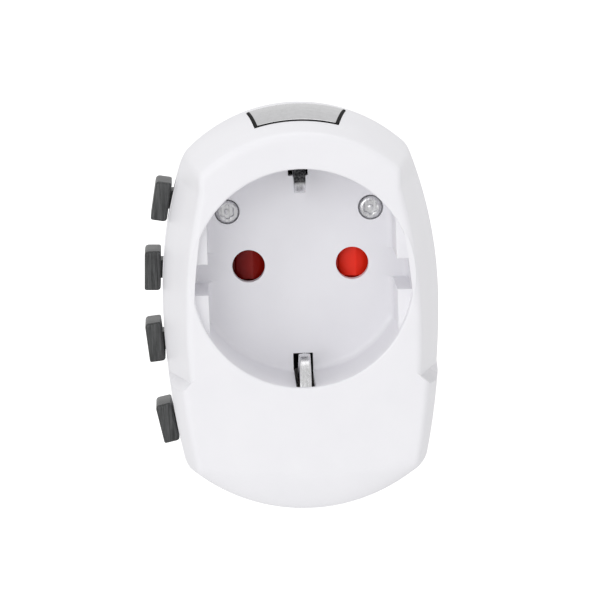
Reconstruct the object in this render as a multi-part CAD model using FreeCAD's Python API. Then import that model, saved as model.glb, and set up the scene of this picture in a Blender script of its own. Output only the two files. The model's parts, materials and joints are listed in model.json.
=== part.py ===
"""Universal travel adapter with a round earthed socket and four sliding plug sets.

Millimetres. The origin is the centre of the socket mouth, in the plane of the
front panel. +Z is up, +Y runs from the mouth into the body, so a depth in this
script is a Y value, and +X is to the right when looking into the socket.
Every plug set is drawn retracted, which is its rest position.
"""
import FreeCAD, Part
import math
import os
from FreeCAD import Vector

os.makedirs("parts", exist_ok=True)

# ---------------------------------------------------------------- overall body
BODY_DEPTH = 66.0          # mouth plane to wall face
HALF_WIDTH = 25.5          # half width of the body at its widest
LOWEST_Z = -44.5           # lowest point of the chin
WALL = 2.0                 # shell thickness
PANEL = 2.2                # thickness of the front panel
SEAM_DEPTH = 24.0          # where the front cover meets the main housing
REAR_PLATE = 2.0           # thickness of the rear cover
WIDEST_Z = -7.0            # height of the widest line of the flanks
UPPER_SIDE_R = 78.0        # curvature of each flank above that line
LOWER_SIDE_R = 134.0       # curvature of each flank below it

# at each depth: how far the flank lies inside the widest line, how much larger the radius
# of the domed top is than the half width there, how far the chin lies above its lowest
# point, and how much larger the radius of the chin is than the greatest half width
SECTIONS = [
    (0.0, 2.8, 3.6, 7.8, 64.5),
    (2.0, 2.2, 3.5, 3.9, 15.5),
    (6.0, 1.3, 3.4, 1.3, 6.5),
    (13.0, 0.4, 3.6, 0.2, 7.5),
    (SEAM_DEPTH - 2.0, 0.0, 3.7, 0.0, 9.5),
    (BODY_DEPTH - 26.0, 0.3, 2.1, 0.7, 10.5),
    (BODY_DEPTH, 1.8, 0.0, 3.0, 10.5),
]
# depth, radius of the domed top, half width, lowest point, radius of the chin
STATIONS = [
    (depth, HALF_WIDTH - narrow + rise, HALF_WIDTH - narrow, LOWEST_Z + lift, HALF_WIDTH + flat)
    for depth, narrow, rise, lift, flat in SECTIONS
]
REACH = 60.0               # further out than any part of the body, for cutting blocks

# finger scallops in both flanks, next to the front panel
SCALLOP_DEPTH = 24.0
SCALLOP_FRONT = [
    (HALF_WIDTH - 7.5, 15.9), (HALF_WIDTH - 4.6, -3.0), (HALF_WIDTH - 5.0, -20.0),
]
SCALLOP_REAR = [
    (HALF_WIDTH - 3.1, 15.9), (HALF_WIDTH + 0.3, -5.0), (HALF_WIDTH - 0.3, -20.0),
]
SCALLOP_TOP_Z = 34.0
SCALLOP_STEP = (3.6, -2.8)

# ---------------------------------------------------------------- round socket
CUP_R = 19.85
CUP_DEPTH = 17.5
CUP_WALL = 1.7
FLOOR = 2.0
LAND_X = 17.0              # half distance between the two side flats
LAND_START = 2.5           # depth at which the flats begin
GROOVE_HALF = 2.8
PIN_PITCH = 19.0
PIN_ENTRY_R = 3.0
SOCKET_PIN_R = 2.4
CLIP_SLOT_HALF = 1.75
CLIP_SLOT_START = 0.8      # depth at which the slots for the earth clips begin
CLIP_WIDTH = 2.1
CLIP_SHEET = 0.6

# ---------------------------------------------------------------- plug sets
TRAVEL = 22.5              # how far each plug set slides towards the wall
CARRIAGE_T = 3.0
REAR_GAP = 0.3             # carriage to rear cover when fully out
CARRIAGE_D = BODY_DEPTH - REAR_PLATE - REAR_GAP - TRAVEL - CARRIAGE_T
APERTURE_GAP = 0.3         # around each pin in the rear cover
SLIDE_GAP = 0.35           # around each conductor rail in a carriage
FIT = 0.05                 # between a pin and its carriage, and other fixed fits
RAIL_T = 0.8
RAIL_H = 3.0
RAIL_END = BODY_DEPTH - REAR_PLATE - 2.5
POLE_LAYER = (CARRIAGE_D - 1.2, CARRIAGE_D - 0.6)
EARTH_LAYER = (CARRIAGE_D - 2.6, CARRIAGE_D - 2.0)

ARM_T = 1.8                # thickness of the arm that carries each knob
KNOB_D = 29.5              # middle of each thumb knob at rest
KNOB_LENGTH = 9.6
KNOB_HEIGHT = 7.3
KNOB_T = 3.0
KNOB_GAP = 0.5
STEM_HEIGHT = 3.3
STEM_LENGTH = 6.0
SLOT_GAP = 0.35
TENON_LENGTH = 3.0
TENON_HEIGHT = 2.0
TENON_DEPTH = 1.3
ARM_FOOT_D = CARRIAGE_D - 3.2    # depth at which each arm turns in towards its carriage
LEG_INNER_X = -15.2        # inner side of the leg that joins an arm to its carriage


# ---------------------------------------------------------------- small helpers
def box(x0, x1, d0, d1, z0, z1):
    """Block between two corners given as x, depth and z ranges."""
    size = (abs(x1 - x0), abs(d1 - d0), abs(z1 - z0))
    return Part.makeBox(*size, Vector(min(x0, x1), min(d0, d1), min(z0, z1)))


def slab(d0, d1):
    """Block wider and taller than the body, between two depths."""
    return box(-REACH, REACH, d0, d1, -REACH, REACH)


def rod(x, z, radius, d0, d1):
    """Round bar along the depth."""
    return Part.makeCylinder(radius, d1 - d0, Vector(x, d0, z), Vector(0, 1, 0))


def cross_rod(x0, x1, depth, z, radius):
    """Round bar along X."""
    return Part.makeCylinder(radius, x1 - x0, Vector(x0, depth, z), Vector(1, 0, 0))


def joined(shapes):
    """Union of several touching shapes, with seams between flat faces removed."""
    whole = shapes[0]
    for shape in shapes[1:]:
        whole = whole.fuse(shape)
    return whole.removeSplitter()


def less(shape, cutters):
    """Shape with every cutter taken away."""
    for cutter in cutters:
        shape = shape.cut(cutter)
    return shape


def mirrored(shape):
    """The same shape on the other side of the centre plane."""
    return shape.mirror(Vector(0, 0, 0), Vector(1, 0, 0))


def both_sides(shape):
    """A shape and its mirror image, as two separate cutters or solids."""
    return [shape, mirrored(shape)]


def save(node, shapes):
    """Write one sub-part; a list of identical solids shares one file."""
    if isinstance(shapes, list):
        shapes = Part.makeCompound(shapes)
    shapes.exportStep("parts/" + node + ".step")


# ---------------------------------------------------------------- body surface
def circles_meet(c1, r1, c2, r2, upper):
    """Right-hand meeting point of two circles, the upper or the lower one."""
    dx = c2[0] - c1[0]
    dz = c2[1] - c1[1]
    gap = math.hypot(dx, dz)
    along = (gap * gap + r1 * r1 - r2 * r2) / (2 * gap)
    off = math.sqrt(r1 * r1 - along * along)
    mid = (c1[0] + along * dx / gap, c1[1] + along * dz / gap)
    found = []
    for sign in (1, -1):
        found.append((mid[0] - sign * off * dz / gap, mid[1] + sign * off * dx / gap))
    found.sort(key=lambda p: p[1])
    return found[1] if upper else found[0]


def arc(centre, radius, start, end, depth):
    """Arc of a circle from one point to another, the short way round."""
    middle = ((start[0] + end[0]) / 2 - centre[0], (start[1] + end[1]) / 2 - centre[1])
    scale = radius / math.hypot(middle[0], middle[1])
    bulge = (centre[0] + middle[0] * scale, centre[1] + middle[1] * scale)
    points = [Vector(p[0], depth, p[1]) for p in (start, bulge, end)]
    return Part.Arc(*points).toShape()


def body_outline(station, inset):
    """Closed outline of the body at one depth: six arcs, moved inwards by inset."""
    depth, top_r, half_w, low_z, chin_r = station
    upper_c = (half_w - UPPER_SIDE_R, WIDEST_Z)
    lower_c = (half_w - LOWER_SIDE_R, WIDEST_Z)
    chin_c = (0.0, low_z + chin_r)
    top_in = top_r - inset
    upper_in = UPPER_SIDE_R - inset
    lower_in = LOWER_SIDE_R - inset
    chin_in = chin_r - inset
    shoulder = circles_meet((0.0, 0.0), top_in, upper_c, upper_in, True)
    corner = circles_meet(lower_c, lower_in, chin_c, chin_in, False)
    widest = (half_w - inset, WIDEST_Z)
    left = [(-p[0], p[1]) for p in (shoulder, widest, corner)]
    upper_left = (-upper_c[0], WIDEST_Z)
    lower_left = (-lower_c[0], WIDEST_Z)
    edges = [
        arc((0.0, 0.0), top_in, left[0], shoulder, depth),
        arc(upper_c, upper_in, shoulder, widest, depth),
        arc(lower_c, lower_in, widest, corner, depth),
        arc(chin_c, chin_in, corner, left[2], depth),
        arc(lower_left, lower_in, left[2], left[1], depth),
        arc(upper_left, upper_in, left[1], left[0], depth),
    ]
    return Part.Wire(edges)


def body_solid(inset):
    """The whole body volume inside its skin, moved inwards by inset."""
    return Part.makeLoft([body_outline(s, inset) for s in STATIONS], True, False)


def half_width_at(depth):
    """Half width of the body at its widest line, by depth."""
    for near, far in zip(STATIONS, STATIONS[1:]):
        if near[0] <= depth <= far[0]:
            share = (depth - near[0]) / (far[0] - near[0])
            return near[2] + share * (far[2] - near[2])
    return STATIONS[-1][2]


def dome_radius_at(depth):
    """Radius of the domed top, by depth."""
    for near, far in zip(STATIONS, STATIONS[1:]):
        if near[0] <= depth <= far[0]:
            share = (depth - near[0]) / (far[0] - near[0])
            return near[1] + share * (far[1] - near[1])
    return STATIONS[-1][1]


def flank_x(depth, z):
    """Distance from the centre plane to the flank at a depth and height."""
    radius = UPPER_SIDE_R if z > WIDEST_Z else LOWER_SIDE_R
    return half_width_at(depth) - radius + math.sqrt(radius ** 2 - (z - WIDEST_Z) ** 2)


def scallop_outline(points, depth, inset):
    """Face outline of the scallop cutter at one depth."""
    top, middle, low = [(p[0] - inset, p[1]) for p in points]
    low = (low[0], low[1] - inset)
    step = (low[0] + SCALLOP_STEP[0] * 5, low[1] + SCALLOP_STEP[1] * 5)
    corners = [(top[0], SCALLOP_TOP_Z), top, low, step, (step[0], SCALLOP_TOP_Z)]
    flat = [Vector(c[0], depth, c[1]) for c in corners]
    curve = Part.Arc(flat[1], Vector(middle[0], depth, middle[1]), flat[2]).toShape()
    edges = [Part.makeLine(flat[0], flat[1]), curve]
    for start, end in ((2, 3), (3, 4), (4, 0)):
        edges.append(Part.makeLine(flat[start], flat[end]))
    return Part.Wire(edges)


def scallop_cutters(inset):
    """What both finger scallops remove from a body moved inwards by inset."""
    slope = [(r[0] - f[0]) / SCALLOP_DEPTH for f, r in zip(SCALLOP_FRONT, SCALLOP_REAR)]
    before = 1.0
    start = [(p[0] - g * before, p[1]) for p, g in zip(SCALLOP_FRONT, slope)]
    wires = [
        scallop_outline(start, -before, inset),
        scallop_outline(SCALLOP_REAR, SCALLOP_DEPTH, inset),
    ]
    return both_sides(Part.makeLoft(wires, True, True))


OUTER = less(body_solid(0.0), scallop_cutters(0.0))
INNER = less(body_solid(WALL), scallop_cutters(WALL))
RUNWAY_LENGTH = BODY_DEPTH - CARRIAGE_D + 2.0
RUNWAY = Part.Face(body_outline(STATIONS[-1], WALL + 0.4)).extrude(Vector(0, -RUNWAY_LENGTH, 0))


# ---------------------------------------------------------------- plug set data
class Pin:
    """One plug pin: where it is, its section, and the rail that feeds it."""

    def __init__(self, x, z, width, height, reach, rail_x, rail_z, flat_rail=False):
        self.x = x
        self.z = z
        self.width = width
        self.height = height
        self.reach = reach
        self.rail_x = rail_x
        self.rail_z = rail_z
        self.flat_rail = flat_rail

    def bar(self, d0, d1, grow=0.0):
        """The pin's section carried from one depth to another."""
        if self.width == self.height:
            return rod(self.x, self.z, self.width / 2 + grow, d0, d1)
        half_w = self.width / 2 + grow
        half_h = self.height / 2 + grow
        return box(self.x - half_w, self.x + half_w, d0, d1, self.z - half_h, self.z + half_h)

    def rail(self, d0, d1, grow=0.0):
        """The fixed rail beside the pin."""
        size = (RAIL_H, RAIL_T) if self.flat_rail else (RAIL_T, RAIL_H)
        half_w = size[0] / 2 + grow
        half_h = size[1] / 2 + grow
        x, z = self.rail_x, self.rail_z
        return box(x - half_w, x + half_w, d0, d1, z - half_h, z + half_h)


# type J: three 4 mm round pins, earth offset 5 mm below the line of the poles
J_LINE_Z = 9.3
J_PINS = {
    "live": Pin(9.5, J_LINE_Z, 4.0, 4.0, 19.0, 6.2, J_LINE_Z),
    "neutral": Pin(-9.5, J_LINE_Z, 4.0, 4.0, 19.0, -6.2, J_LINE_Z),
    "earth": Pin(0.0, J_LINE_Z - 5.0, 4.0, 4.0, 19.0, 3.2, J_LINE_Z - 5.0),
}
# type G: three rectangular pins, earth 22.2 mm above the poles
G_LINE_Z = -5.7
G_PINS = {
    "live": Pin(11.1, G_LINE_Z, 6.35, 4.0, 17.7, 11.1, G_LINE_Z + 4.1, True),
    "neutral": Pin(-11.1, G_LINE_Z, 6.35, 4.0, 17.7, -11.1, G_LINE_Z + 4.1, True),
    "earth": Pin(0.0, G_LINE_Z + 22.2, 4.0, 8.0, 22.5, 3.2, G_LINE_Z + 22.2),
}
# types A, B and I: two flat blades on turrets, round earth pin 11.9 mm below
A_LINE_Z = -13.2
A_PINS = {
    "live": Pin(6.35, A_LINE_Z, 1.5, 6.35, 17.0, 12.1, A_LINE_Z),
    "neutral": Pin(-6.35, A_LINE_Z, 1.5, 6.35, 17.0, -12.1, A_LINE_Z),
    "earth": Pin(0.0, A_LINE_Z - 11.9, 4.8, 4.8, 20.0, 3.6, A_LINE_Z - 11.9),
}
# type L: three 4 mm round pins in one line
L_LINE_Z = -31.5
L_PINS = {
    "live": Pin(9.5, L_LINE_Z, 4.0, 4.0, 19.0, 6.2, L_LINE_Z),
    "neutral": Pin(-9.5, L_LINE_Z, 4.0, 4.0, 19.0, -6.2, L_LINE_Z),
    "earth": Pin(0.0, L_LINE_Z, 4.0, 4.0, 19.0, 3.2, L_LINE_Z),
}
ALL_PINS = [p for group in (J_PINS, G_PINS, A_PINS, L_PINS) for p in group.values()]

TURRET_R = 4.2
TURRET_FLANGE_R = 4.5

# height of each thumb knob, and its tilt to lie along the flank
KNOBS = {
    "type_j": (11.5, 10.0),
    "type_g": (-1.4, 2.0),
    "type_ab": (-14.8, -6.0),
    "type_l": (-30.1, -12.0),
}


# ---------------------------------------------------------------- shell pieces
def pin_apertures(d0, d1):
    """Openings in the rear cover for every pin and turret."""
    openings = []
    for pin in ALL_PINS:
        if pin in (A_PINS["live"], A_PINS["neutral"]):
            openings.append(rod(pin.x, pin.z, TURRET_R + APERTURE_GAP, d0, d1))
        else:
            openings.append(pin.bar(d0, d1, APERTURE_GAP))
    return openings


def cup_hollow():
    """Space of the round socket, with side flats and their locating grooves."""
    full = rod(0, 0, CUP_R, -1.0, CUP_DEPTH)
    flats = box(-LAND_X, LAND_X, LAND_START, CUP_DEPTH, -CUP_R, CUP_R)
    mouth = box(-CUP_R, CUP_R, -1.0, LAND_START, -CUP_R, CUP_R)
    groove = box(-CUP_R, CUP_R, -1.0, CUP_DEPTH, -GROOVE_HALF, GROOVE_HALF)
    return full.common(joined([flats, mouth, groove]))


SCREW_X = 13.14
SCREW_Z = 10.2
SCREW_HEAD_R = 2.1
SCREW_HEAD_D = (CUP_DEPTH - 0.3, CUP_DEPTH + 1.1)
SCREW_SHANK_R = 1.4
SCREW_END = 33.5
EAR_R = 3.2
BOSS_R = 2.7
LIP_LENGTH = 1.9
LIP_INSET = 1.05
RABBET_INSET = 1.0


def screw_clearance(head_from, through_to):
    """Counterbore and clearance hole for each front screw."""
    cutters = []
    for x in (SCREW_X, -SCREW_X):
        cutters.append(rod(x, SCREW_Z, SCREW_HEAD_R + 0.2, head_from, SCREW_HEAD_D[1] + 0.02))
        cutters.append(rod(x, SCREW_Z, SCREW_SHANK_R + 0.2, head_from, through_to))
    return cutters


LUG_LENGTH = 2.5           # locating lugs of the rear cover
BUTTON_D = (7.2, 20.6)
BUTTON_FRONT_X = (-7.5, 7.1)
BUTTON_REAR_X = (-8.8, 9.0)
BUTTON_GAP = 0.3
BUTTON_T = 1.6
BUTTON_TRAVEL = 1.6
FLANGE_T = 1.0


def button_footprint(grow, z0, z1):
    """Tall prism over the button's tapered outline seen from above."""
    corners = [
        (BUTTON_FRONT_X[0] - grow, BUTTON_D[0] - grow),
        (BUTTON_FRONT_X[1] + grow, BUTTON_D[0] - grow),
        (BUTTON_REAR_X[1] + grow, BUTTON_D[1] + grow),
        (BUTTON_REAR_X[0] - grow, BUTTON_D[1] + grow),
    ]
    points = [Vector(x, d, z0) for x, d in corners]
    face = Part.Face(Part.makePolygon(points + points[:1]))
    return face.extrude(Vector(0, 0, z1 - z0))


def front_cover():
    """Front panel, dome front and round socket in one moulding."""
    skin = OUTER.common(slab(-5, SEAM_DEPTH))
    hollow = INNER.common(slab(PANEL, SEAM_DEPTH + 5))
    lip = less(body_solid(LIP_INSET), [body_solid(WALL)])
    lip = lip.common(slab(SEAM_DEPTH - 2, SEAM_DEPTH + LIP_LENGTH))
    cup = OUTER.common(rod(0, 0, CUP_R + CUP_WALL, 0.0, CUP_DEPTH + FLOOR))
    shell = joined([skin.cut(hollow), cup, lip])
    cutters = [cup_hollow(), button_footprint(BUTTON_GAP, CUP_R + 2.65, REACH)]
    for x in (PIN_PITCH / 2, -PIN_PITCH / 2):
        cutters.append(rod(x, 0, PIN_ENTRY_R, CUP_DEPTH - 1, CUP_DEPTH + FLOOR + 1))
    half = CLIP_SLOT_HALF
    cutters.append(box(-half, half, CLIP_SLOT_START, CUP_DEPTH, -CUP_R - 3, -CUP_R + 4))
    cutters.append(box(-half, half, CLIP_SLOT_START, CUP_DEPTH, CUP_R - 4, CUP_R + 3))
    passage = box(-half, half, CUP_DEPTH - 1, CUP_DEPTH + FLOOR + 1, CUP_R - 3.4, CUP_R + 4)
    cutters += [passage, passage.mirror(Vector(0, 0, 0), Vector(0, 0, 1))]
    cutters += screw_clearance(CUP_DEPTH - 5, CUP_DEPTH + FLOOR + 1)
    return less(shell, cutters)


def knob_slot(z):
    """Slot in the left flank for one knob stem over its whole travel."""
    half = STEM_HEIGHT / 2 + SLOT_GAP
    d0 = KNOB_D - STEM_LENGTH / 2 - SLOT_GAP
    d1 = KNOB_D + STEM_LENGTH / 2 + TRAVEL + SLOT_GAP
    return box(-REACH, -15, d0, d1, z - half, z + half)


FUSE_D = 29.5
FUSE_Z = -29.6
FUSE_R = 2.6
FUSE_HALF = 10.0
FUSE_BASE_Z = (-34.4, -33.4)
REAR_SCREW_Z = -37.2
REAR_SCREW_POST_R = 2.3
REAR_SCREW_R = 1.2
REAR_SCREW_START = BODY_DEPTH - 12.0


def main_housing():
    """Rear two thirds of the shell, with knob slots, bosses and ribs."""
    rear = BODY_DEPTH - REAR_PLATE
    skin = OUTER.common(slab(SEAM_DEPTH, rear))
    wall = skin.cut(body_solid(WALL))
    rabbet = body_solid(RABBET_INSET)
    rabbet = rabbet.common(slab(SEAM_DEPTH - 1, SEAM_DEPTH + LIP_LENGTH + 0.1))
    wall = wall.cut(rabbet)
    core = body_solid(WALL - 0.1)
    boss_start = SEAM_DEPTH + 0.3
    rib_start = SEAM_DEPTH + LIP_LENGTH + 0.4
    pieces = [wall]
    for x in (SCREW_X, -SCREW_X):
        pieces.append(rod(x, SCREW_Z, BOSS_R, boss_start, SCREW_END + 1.0))
        rib = box(x - 0.8, x + 0.8, rib_start, SCREW_END + 1.0, SCREW_Z, REACH)
        pieces.append(rib.common(core))
    for x in (-7.0, 7.0):
        rib = box(x - 0.8, x + 0.8, rib_start, SCREW_END, FUSE_BASE_Z[0] - 0.05, -REACH)
        pieces.append(rib.common(core))
    pieces.append(rod(0, REAR_SCREW_Z, REAR_SCREW_POST_R, REAR_SCREW_START - 2, rear - 0.05))
    rib = box(-1.2, 1.2, REAR_SCREW_START - 2, rear - 0.05, REAR_SCREW_Z, -REACH)
    pieces.append(rib.common(core))
    shell = joined(pieces)
    cutters = [knob_slot(z) for z, tilt in KNOBS.values()]
    for x in (SCREW_X, -SCREW_X):
        cutters.append(rod(x, SCREW_Z, SCREW_SHANK_R + FIT, boss_start - 1, SCREW_END + 0.2))
    cutters.append(rod(0, REAR_SCREW_Z, REAR_SCREW_R + FIT, REAR_SCREW_START - 0.5, rear + 1))
    return less(shell, cutters)


def rear_cover():
    """Flat plate that meets the wall, with all the pin apertures."""
    inner = BODY_DEPTH - REAR_PLATE
    plate = OUTER.common(slab(inner, BODY_DEPTH + 5))
    lug_x = half_width_at(inner) - WALL - 0.3
    lugs = [box(lug_x - 1.2, lug_x, inner - LUG_LENGTH, inner + 0.2, -9.0, -4.0)]
    lugs += both_sides(box(11.0, 14.0, inner - LUG_LENGTH, inner + 0.2, -35.7, -34.9))
    lugs.append(box(-9.8, -7.6, inner - LUG_LENGTH, inner + 0.2, 17.0, 18.6))
    cutters = pin_apertures(inner - 1, BODY_DEPTH + 1)
    cutters.append(rod(0, REAR_SCREW_Z, REAR_SCREW_R + 0.15, inner - 1, BODY_DEPTH + 1))
    cutters.append(rod(0, REAR_SCREW_Z, SCREW_HEAD_R + 0.2, BODY_DEPTH - 1.2, BODY_DEPTH + 1))
    return less(joined([plate] + lugs), cutters)


def security_screw(x, z, head_d, tip_d, head_r, shank_r):
    """Pan screw with a hollow head and a centre post; the head faces head_d."""
    toward = 1 if tip_d > head_d[0] else -1
    d0, d1 = sorted(head_d)
    head = rod(x, z, head_r, d0, d1)
    shank = rod(x, z, shank_r, min(head_d[0], tip_d), max(head_d[0], tip_d))
    if toward > 0:
        ring = rod(x, z, 0.62 * head_r, d0 - 1, d0 + 0.6)
        post = rod(x, z, 0.25 * head_r, d0 + 0.2, d0 + 0.8)
    else:
        ring = rod(x, z, 0.62 * head_r, d1 - 0.6, d1 + 1)
        post = rod(x, z, 0.25 * head_r, d1 - 0.8, d1 - 0.2)
    return joined([joined([head, shank]).cut(ring), post])


def front_screws():
    """The two screws in the socket floor."""
    return [
        security_screw(x, SCREW_Z, SCREW_HEAD_D, SCREW_END, SCREW_HEAD_R, SCREW_SHANK_R)
        for x in (SCREW_X, -SCREW_X)
    ]


def rear_screw():
    """Screw that holds the rear cover."""
    head = (BODY_DEPTH - 0.2, BODY_DEPTH - 1.2)
    return security_screw(0, REAR_SCREW_Z, head, REAR_SCREW_START, SCREW_HEAD_R, REAR_SCREW_R)


# ---------------------------------------------------------------- socket inside
SHUTTER_D = (CUP_DEPTH + FLOOR + 0.3, CUP_DEPTH + FLOOR + 2.9)
BLOCK_D = (SHUTTER_D[1] + 0.5, EARTH_LAYER[0] - 0.8)
BLOCK_HALF = PIN_PITCH / 2 + 5.0
SLEEVE_R = 3.3
SLEEVE_D = (BLOCK_D[0] + 0.2, POLE_LAYER[0] - 0.3)
SHUTTER_TRAVEL = 6.2
SHUTTER_HALF_Z = 4.6
LUG_X = (0.2, 1.6)
STOP_X = (BLOCK_HALF - 0.9, BLOCK_HALF + 0.5)
SPRING_Z = -6.7


def contact_block():
    """Insulating block that carries the two socket contacts behind the floor."""
    body = box(-BLOCK_HALF, BLOCK_HALF, BLOCK_D[0], BLOCK_D[1], -6.2, 6.2)
    pieces = [body]
    for x in (SCREW_X, -SCREW_X):
        ear = rod(x, SCREW_Z, EAR_R, CUP_DEPTH + FLOOR + 0.1, SEAM_DEPTH + 0.2)
        web = box(x - 2.6, x + 2.6, CUP_DEPTH + FLOOR + 0.1, SEAM_DEPTH + 0.2, 5.4, SCREW_Z)
        pieces += [ear, web]
    pieces.append(box(STOP_X[0], STOP_X[1], SHUTTER_D[0], BLOCK_D[0] + 0.5, -8.3, -5.2))
    pieces.append(box(STOP_X[0] - 3, STOP_X[1], BLOCK_D[0], BLOCK_D[0] + 2, -8.3, -6.0))
    cutters = []
    for x in (PIN_PITCH / 2, -PIN_PITCH / 2):
        cutters.append(rod(x, 0, SLEEVE_R + FIT, BLOCK_D[0] - 1, BLOCK_D[1] + 1))
        cutters.append(box(x - 0.6, x + 0.6, BLOCK_D[0] - 1, BLOCK_D[1] + 1, -5.2, 0))
    for x in (SCREW_X, -SCREW_X):
        cutters.append(rod(x, SCREW_Z, SCREW_SHANK_R + 0.2, CUP_DEPTH, SEAM_DEPTH + 1))
    return less(joined(pieces), cutters)


def socket_contact(x):
    """Split brass sleeve that grips one socket pin, with a solder tab."""
    sleeve = rod(x, 0, SLEEVE_R, SLEEVE_D[0], SLEEVE_D[1])
    tab = box(x - 0.4, x + 0.4, SLEEVE_D[0] + 6, SLEEVE_D[1], -5.0, -SLEEVE_R + 0.4)
    whole = joined([sleeve, tab])
    bore = rod(x, 0, SOCKET_PIN_R + 0.1, SLEEVE_D[0] - 1, SLEEVE_D[1] + 1)
    slit = box(x - 0.4, x + 0.4, SLEEVE_D[0] - 1, SLEEVE_D[1] - 4, 0, SLEEVE_R + 1)
    return less(whole, [bore, slit])


def shutter():
    """Sliding safety gate with two windows and ramps in front of the pin holes."""
    half = PIN_PITCH / 2
    left = -half - SHUTTER_TRAVEL - PIN_ENTRY_R - 0.6
    right = half + PIN_ENTRY_R + 0.8
    plate = box(left, right, SHUTTER_D[0] + 1.0, SHUTTER_D[1], -SHUTTER_HALF_Z, SHUTTER_HALF_Z)
    pieces = [plate]
    for x in (half, -half):
        corners = [(x - 3.0, 1.0), (x - 3.0, 0.7), (x + 0.6, 0.0), (x + 3.2, 1.0)]
        points = [Vector(cx, SHUTTER_D[0] + d, -3.0) for cx, d in corners]
        ramp = Part.Face(Part.makePolygon(points + points[:1])).extrude(Vector(0, 0, 6.0))
        pieces.append(ramp)
    pieces.append(box(LUG_X[0], LUG_X[1], SHUTTER_D[0], SHUTTER_D[1], SPRING_Z - 1.6, -4.5))
    windows = []
    for x in (half - SHUTTER_TRAVEL, -half - SHUTTER_TRAVEL):
        windows.append(rod(x, 0, PIN_ENTRY_R - 0.3, SHUTTER_D[0] - 1, SHUTTER_D[1] + 1))
    return less(joined(pieces), windows)


def coil(radius, wire_r, length, turns, base, axis):
    """Helical spring of round wire, starting at base and running along axis."""
    helix = Part.makeHelix(length / turns, length, radius)
    start = Vector(radius, 0, 0)
    profile = Part.Wire(Part.makeCircle(wire_r, start, Vector(0, 1, length / turns / 7.0 / radius)))
    spring = Part.Wire(helix).makePipeShell([profile], True, True)
    turn = FreeCAD.Rotation(Vector(0, 0, 1), axis)
    spring.Placement = FreeCAD.Placement(base, turn)
    return spring


def shutter_spring():
    """Spring between the shutter lug and its stop."""
    start = LUG_X[1] + 0.3
    length = STOP_X[0] - 0.3 - start
    middle = (SHUTTER_D[0] + SHUTTER_D[1]) / 2
    return coil(0.85, 0.2, length, 8, Vector(start, middle, SPRING_Z), Vector(1, 0, 0))


def earth_clip():
    """Bent strip in the top slot of the cup; its belly touches the plug's earth."""
    outer_z = CUP_R + 1.3
    deep = CUP_DEPTH
    line = [
        (deep + FLOOR + 0.7, outer_z + 1.0), (deep + 0.1, outer_z - 0.4),
        (0.74 * deep, CUP_R - 2.0), (0.47 * deep, CUP_R - 4.4), (0.34 * deep, CUP_R - 4.8),
        (0.23 * deep, CUP_R - 3.4), (0.15 * deep, CUP_R - 1.3), (0.11 * deep, CUP_R + 0.5),
    ]
    half = CLIP_SHEET / 2
    above = []
    below = []
    for i, (d, z) in enumerate(line):
        near = line[max(i - 1, 0)]
        far = line[min(i + 1, len(line) - 1)]
        slope = math.hypot(far[0] - near[0], far[1] - near[1])
        nd = -(far[1] - near[1]) / slope
        nz = (far[0] - near[0]) / slope
        above.append(Vector(-CLIP_WIDTH / 2, d + nd * half, z + nz * half))
        below.append(Vector(-CLIP_WIDTH / 2, d - nd * half, z - nz * half))
    edges = []
    for points in (above, below):
        curve = Part.BSplineCurve()
        curve.interpolate(points)
        edges.append(curve.toShape())
    edges.append(Part.makeLine(above[0], below[0]))
    edges.append(Part.makeLine(above[-1], below[-1]))
    face = Part.Face(Part.Wire(Part.__sortEdges__(edges)))
    return face.extrude(Vector(CLIP_WIDTH, 0, 0))


def earth_strap():
    """Brass frame behind the cup that links both earth clips to the earth rail."""
    reach = CUP_R + 2.4
    depth = (CUP_DEPTH + FLOOR + 1.1, CUP_DEPTH + FLOOR + 1.9)
    upper = box(-1.5, 15.0, depth[0], depth[1], reach - 2.0, reach - 0.4)
    post = box(13.4, 15.0, depth[0], depth[1], 13.7, reach - 1.0)
    return joined([upper, post])


def conductor(pole_pins, spine, layer, z_range):
    """Flat plate with one rail running back beside each pin of that pole."""
    pieces = [box(spine[0], spine[1], layer[0], layer[1], z_range[0], z_range[1])]
    for pin in pole_pins:
        pieces.append(pin.rail(layer[0], RAIL_END))
        half = RAIL_H / 2
        near = min(pin.rail_x - RAIL_T / 2, spine[0])
        far = max(pin.rail_x + RAIL_T / 2, spine[1])
        if pin.flat_rail:
            half = RAIL_T / 2
            near = min(pin.rail_x - RAIL_H / 2, spine[0])
            far = max(pin.rail_x + RAIL_H / 2, spine[1])
        pieces.append(box(near, far, layer[0], layer[1], pin.rail_z - half, pin.rail_z + half))
    return joined(pieces)


SPINE_X = (12.8, 14.8)


def live_bus():
    """Live plate and its four rails."""
    pins = [group["live"] for group in (J_PINS, G_PINS, A_PINS, L_PINS)]
    return conductor(pins, SPINE_X, POLE_LAYER, (L_LINE_Z - RAIL_H / 2, J_LINE_Z + RAIL_H / 2))


def earth_bus():
    """Earth plate and its four rails."""
    pins = [group["earth"] for group in (J_PINS, G_PINS, A_PINS, L_PINS)]
    return conductor(pins, (2.4, 4.0), EARTH_LAYER, (L_LINE_Z - RAIL_H / 2, G_LINE_Z + 23.7))


def fuse():
    """Glass fuse with two metal end caps, as one cartridge."""
    tube = cross_rod(-FUSE_HALF + 1, FUSE_HALF - 1, FUSE_D, FUSE_Z, FUSE_R - 0.2)
    caps = []
    for x0 in (-FUSE_HALF, FUSE_HALF - 5.0):
        caps.append(cross_rod(x0, x0 + 5.0, FUSE_D, FUSE_Z, FUSE_R))
    return joined([tube] + caps)


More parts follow.
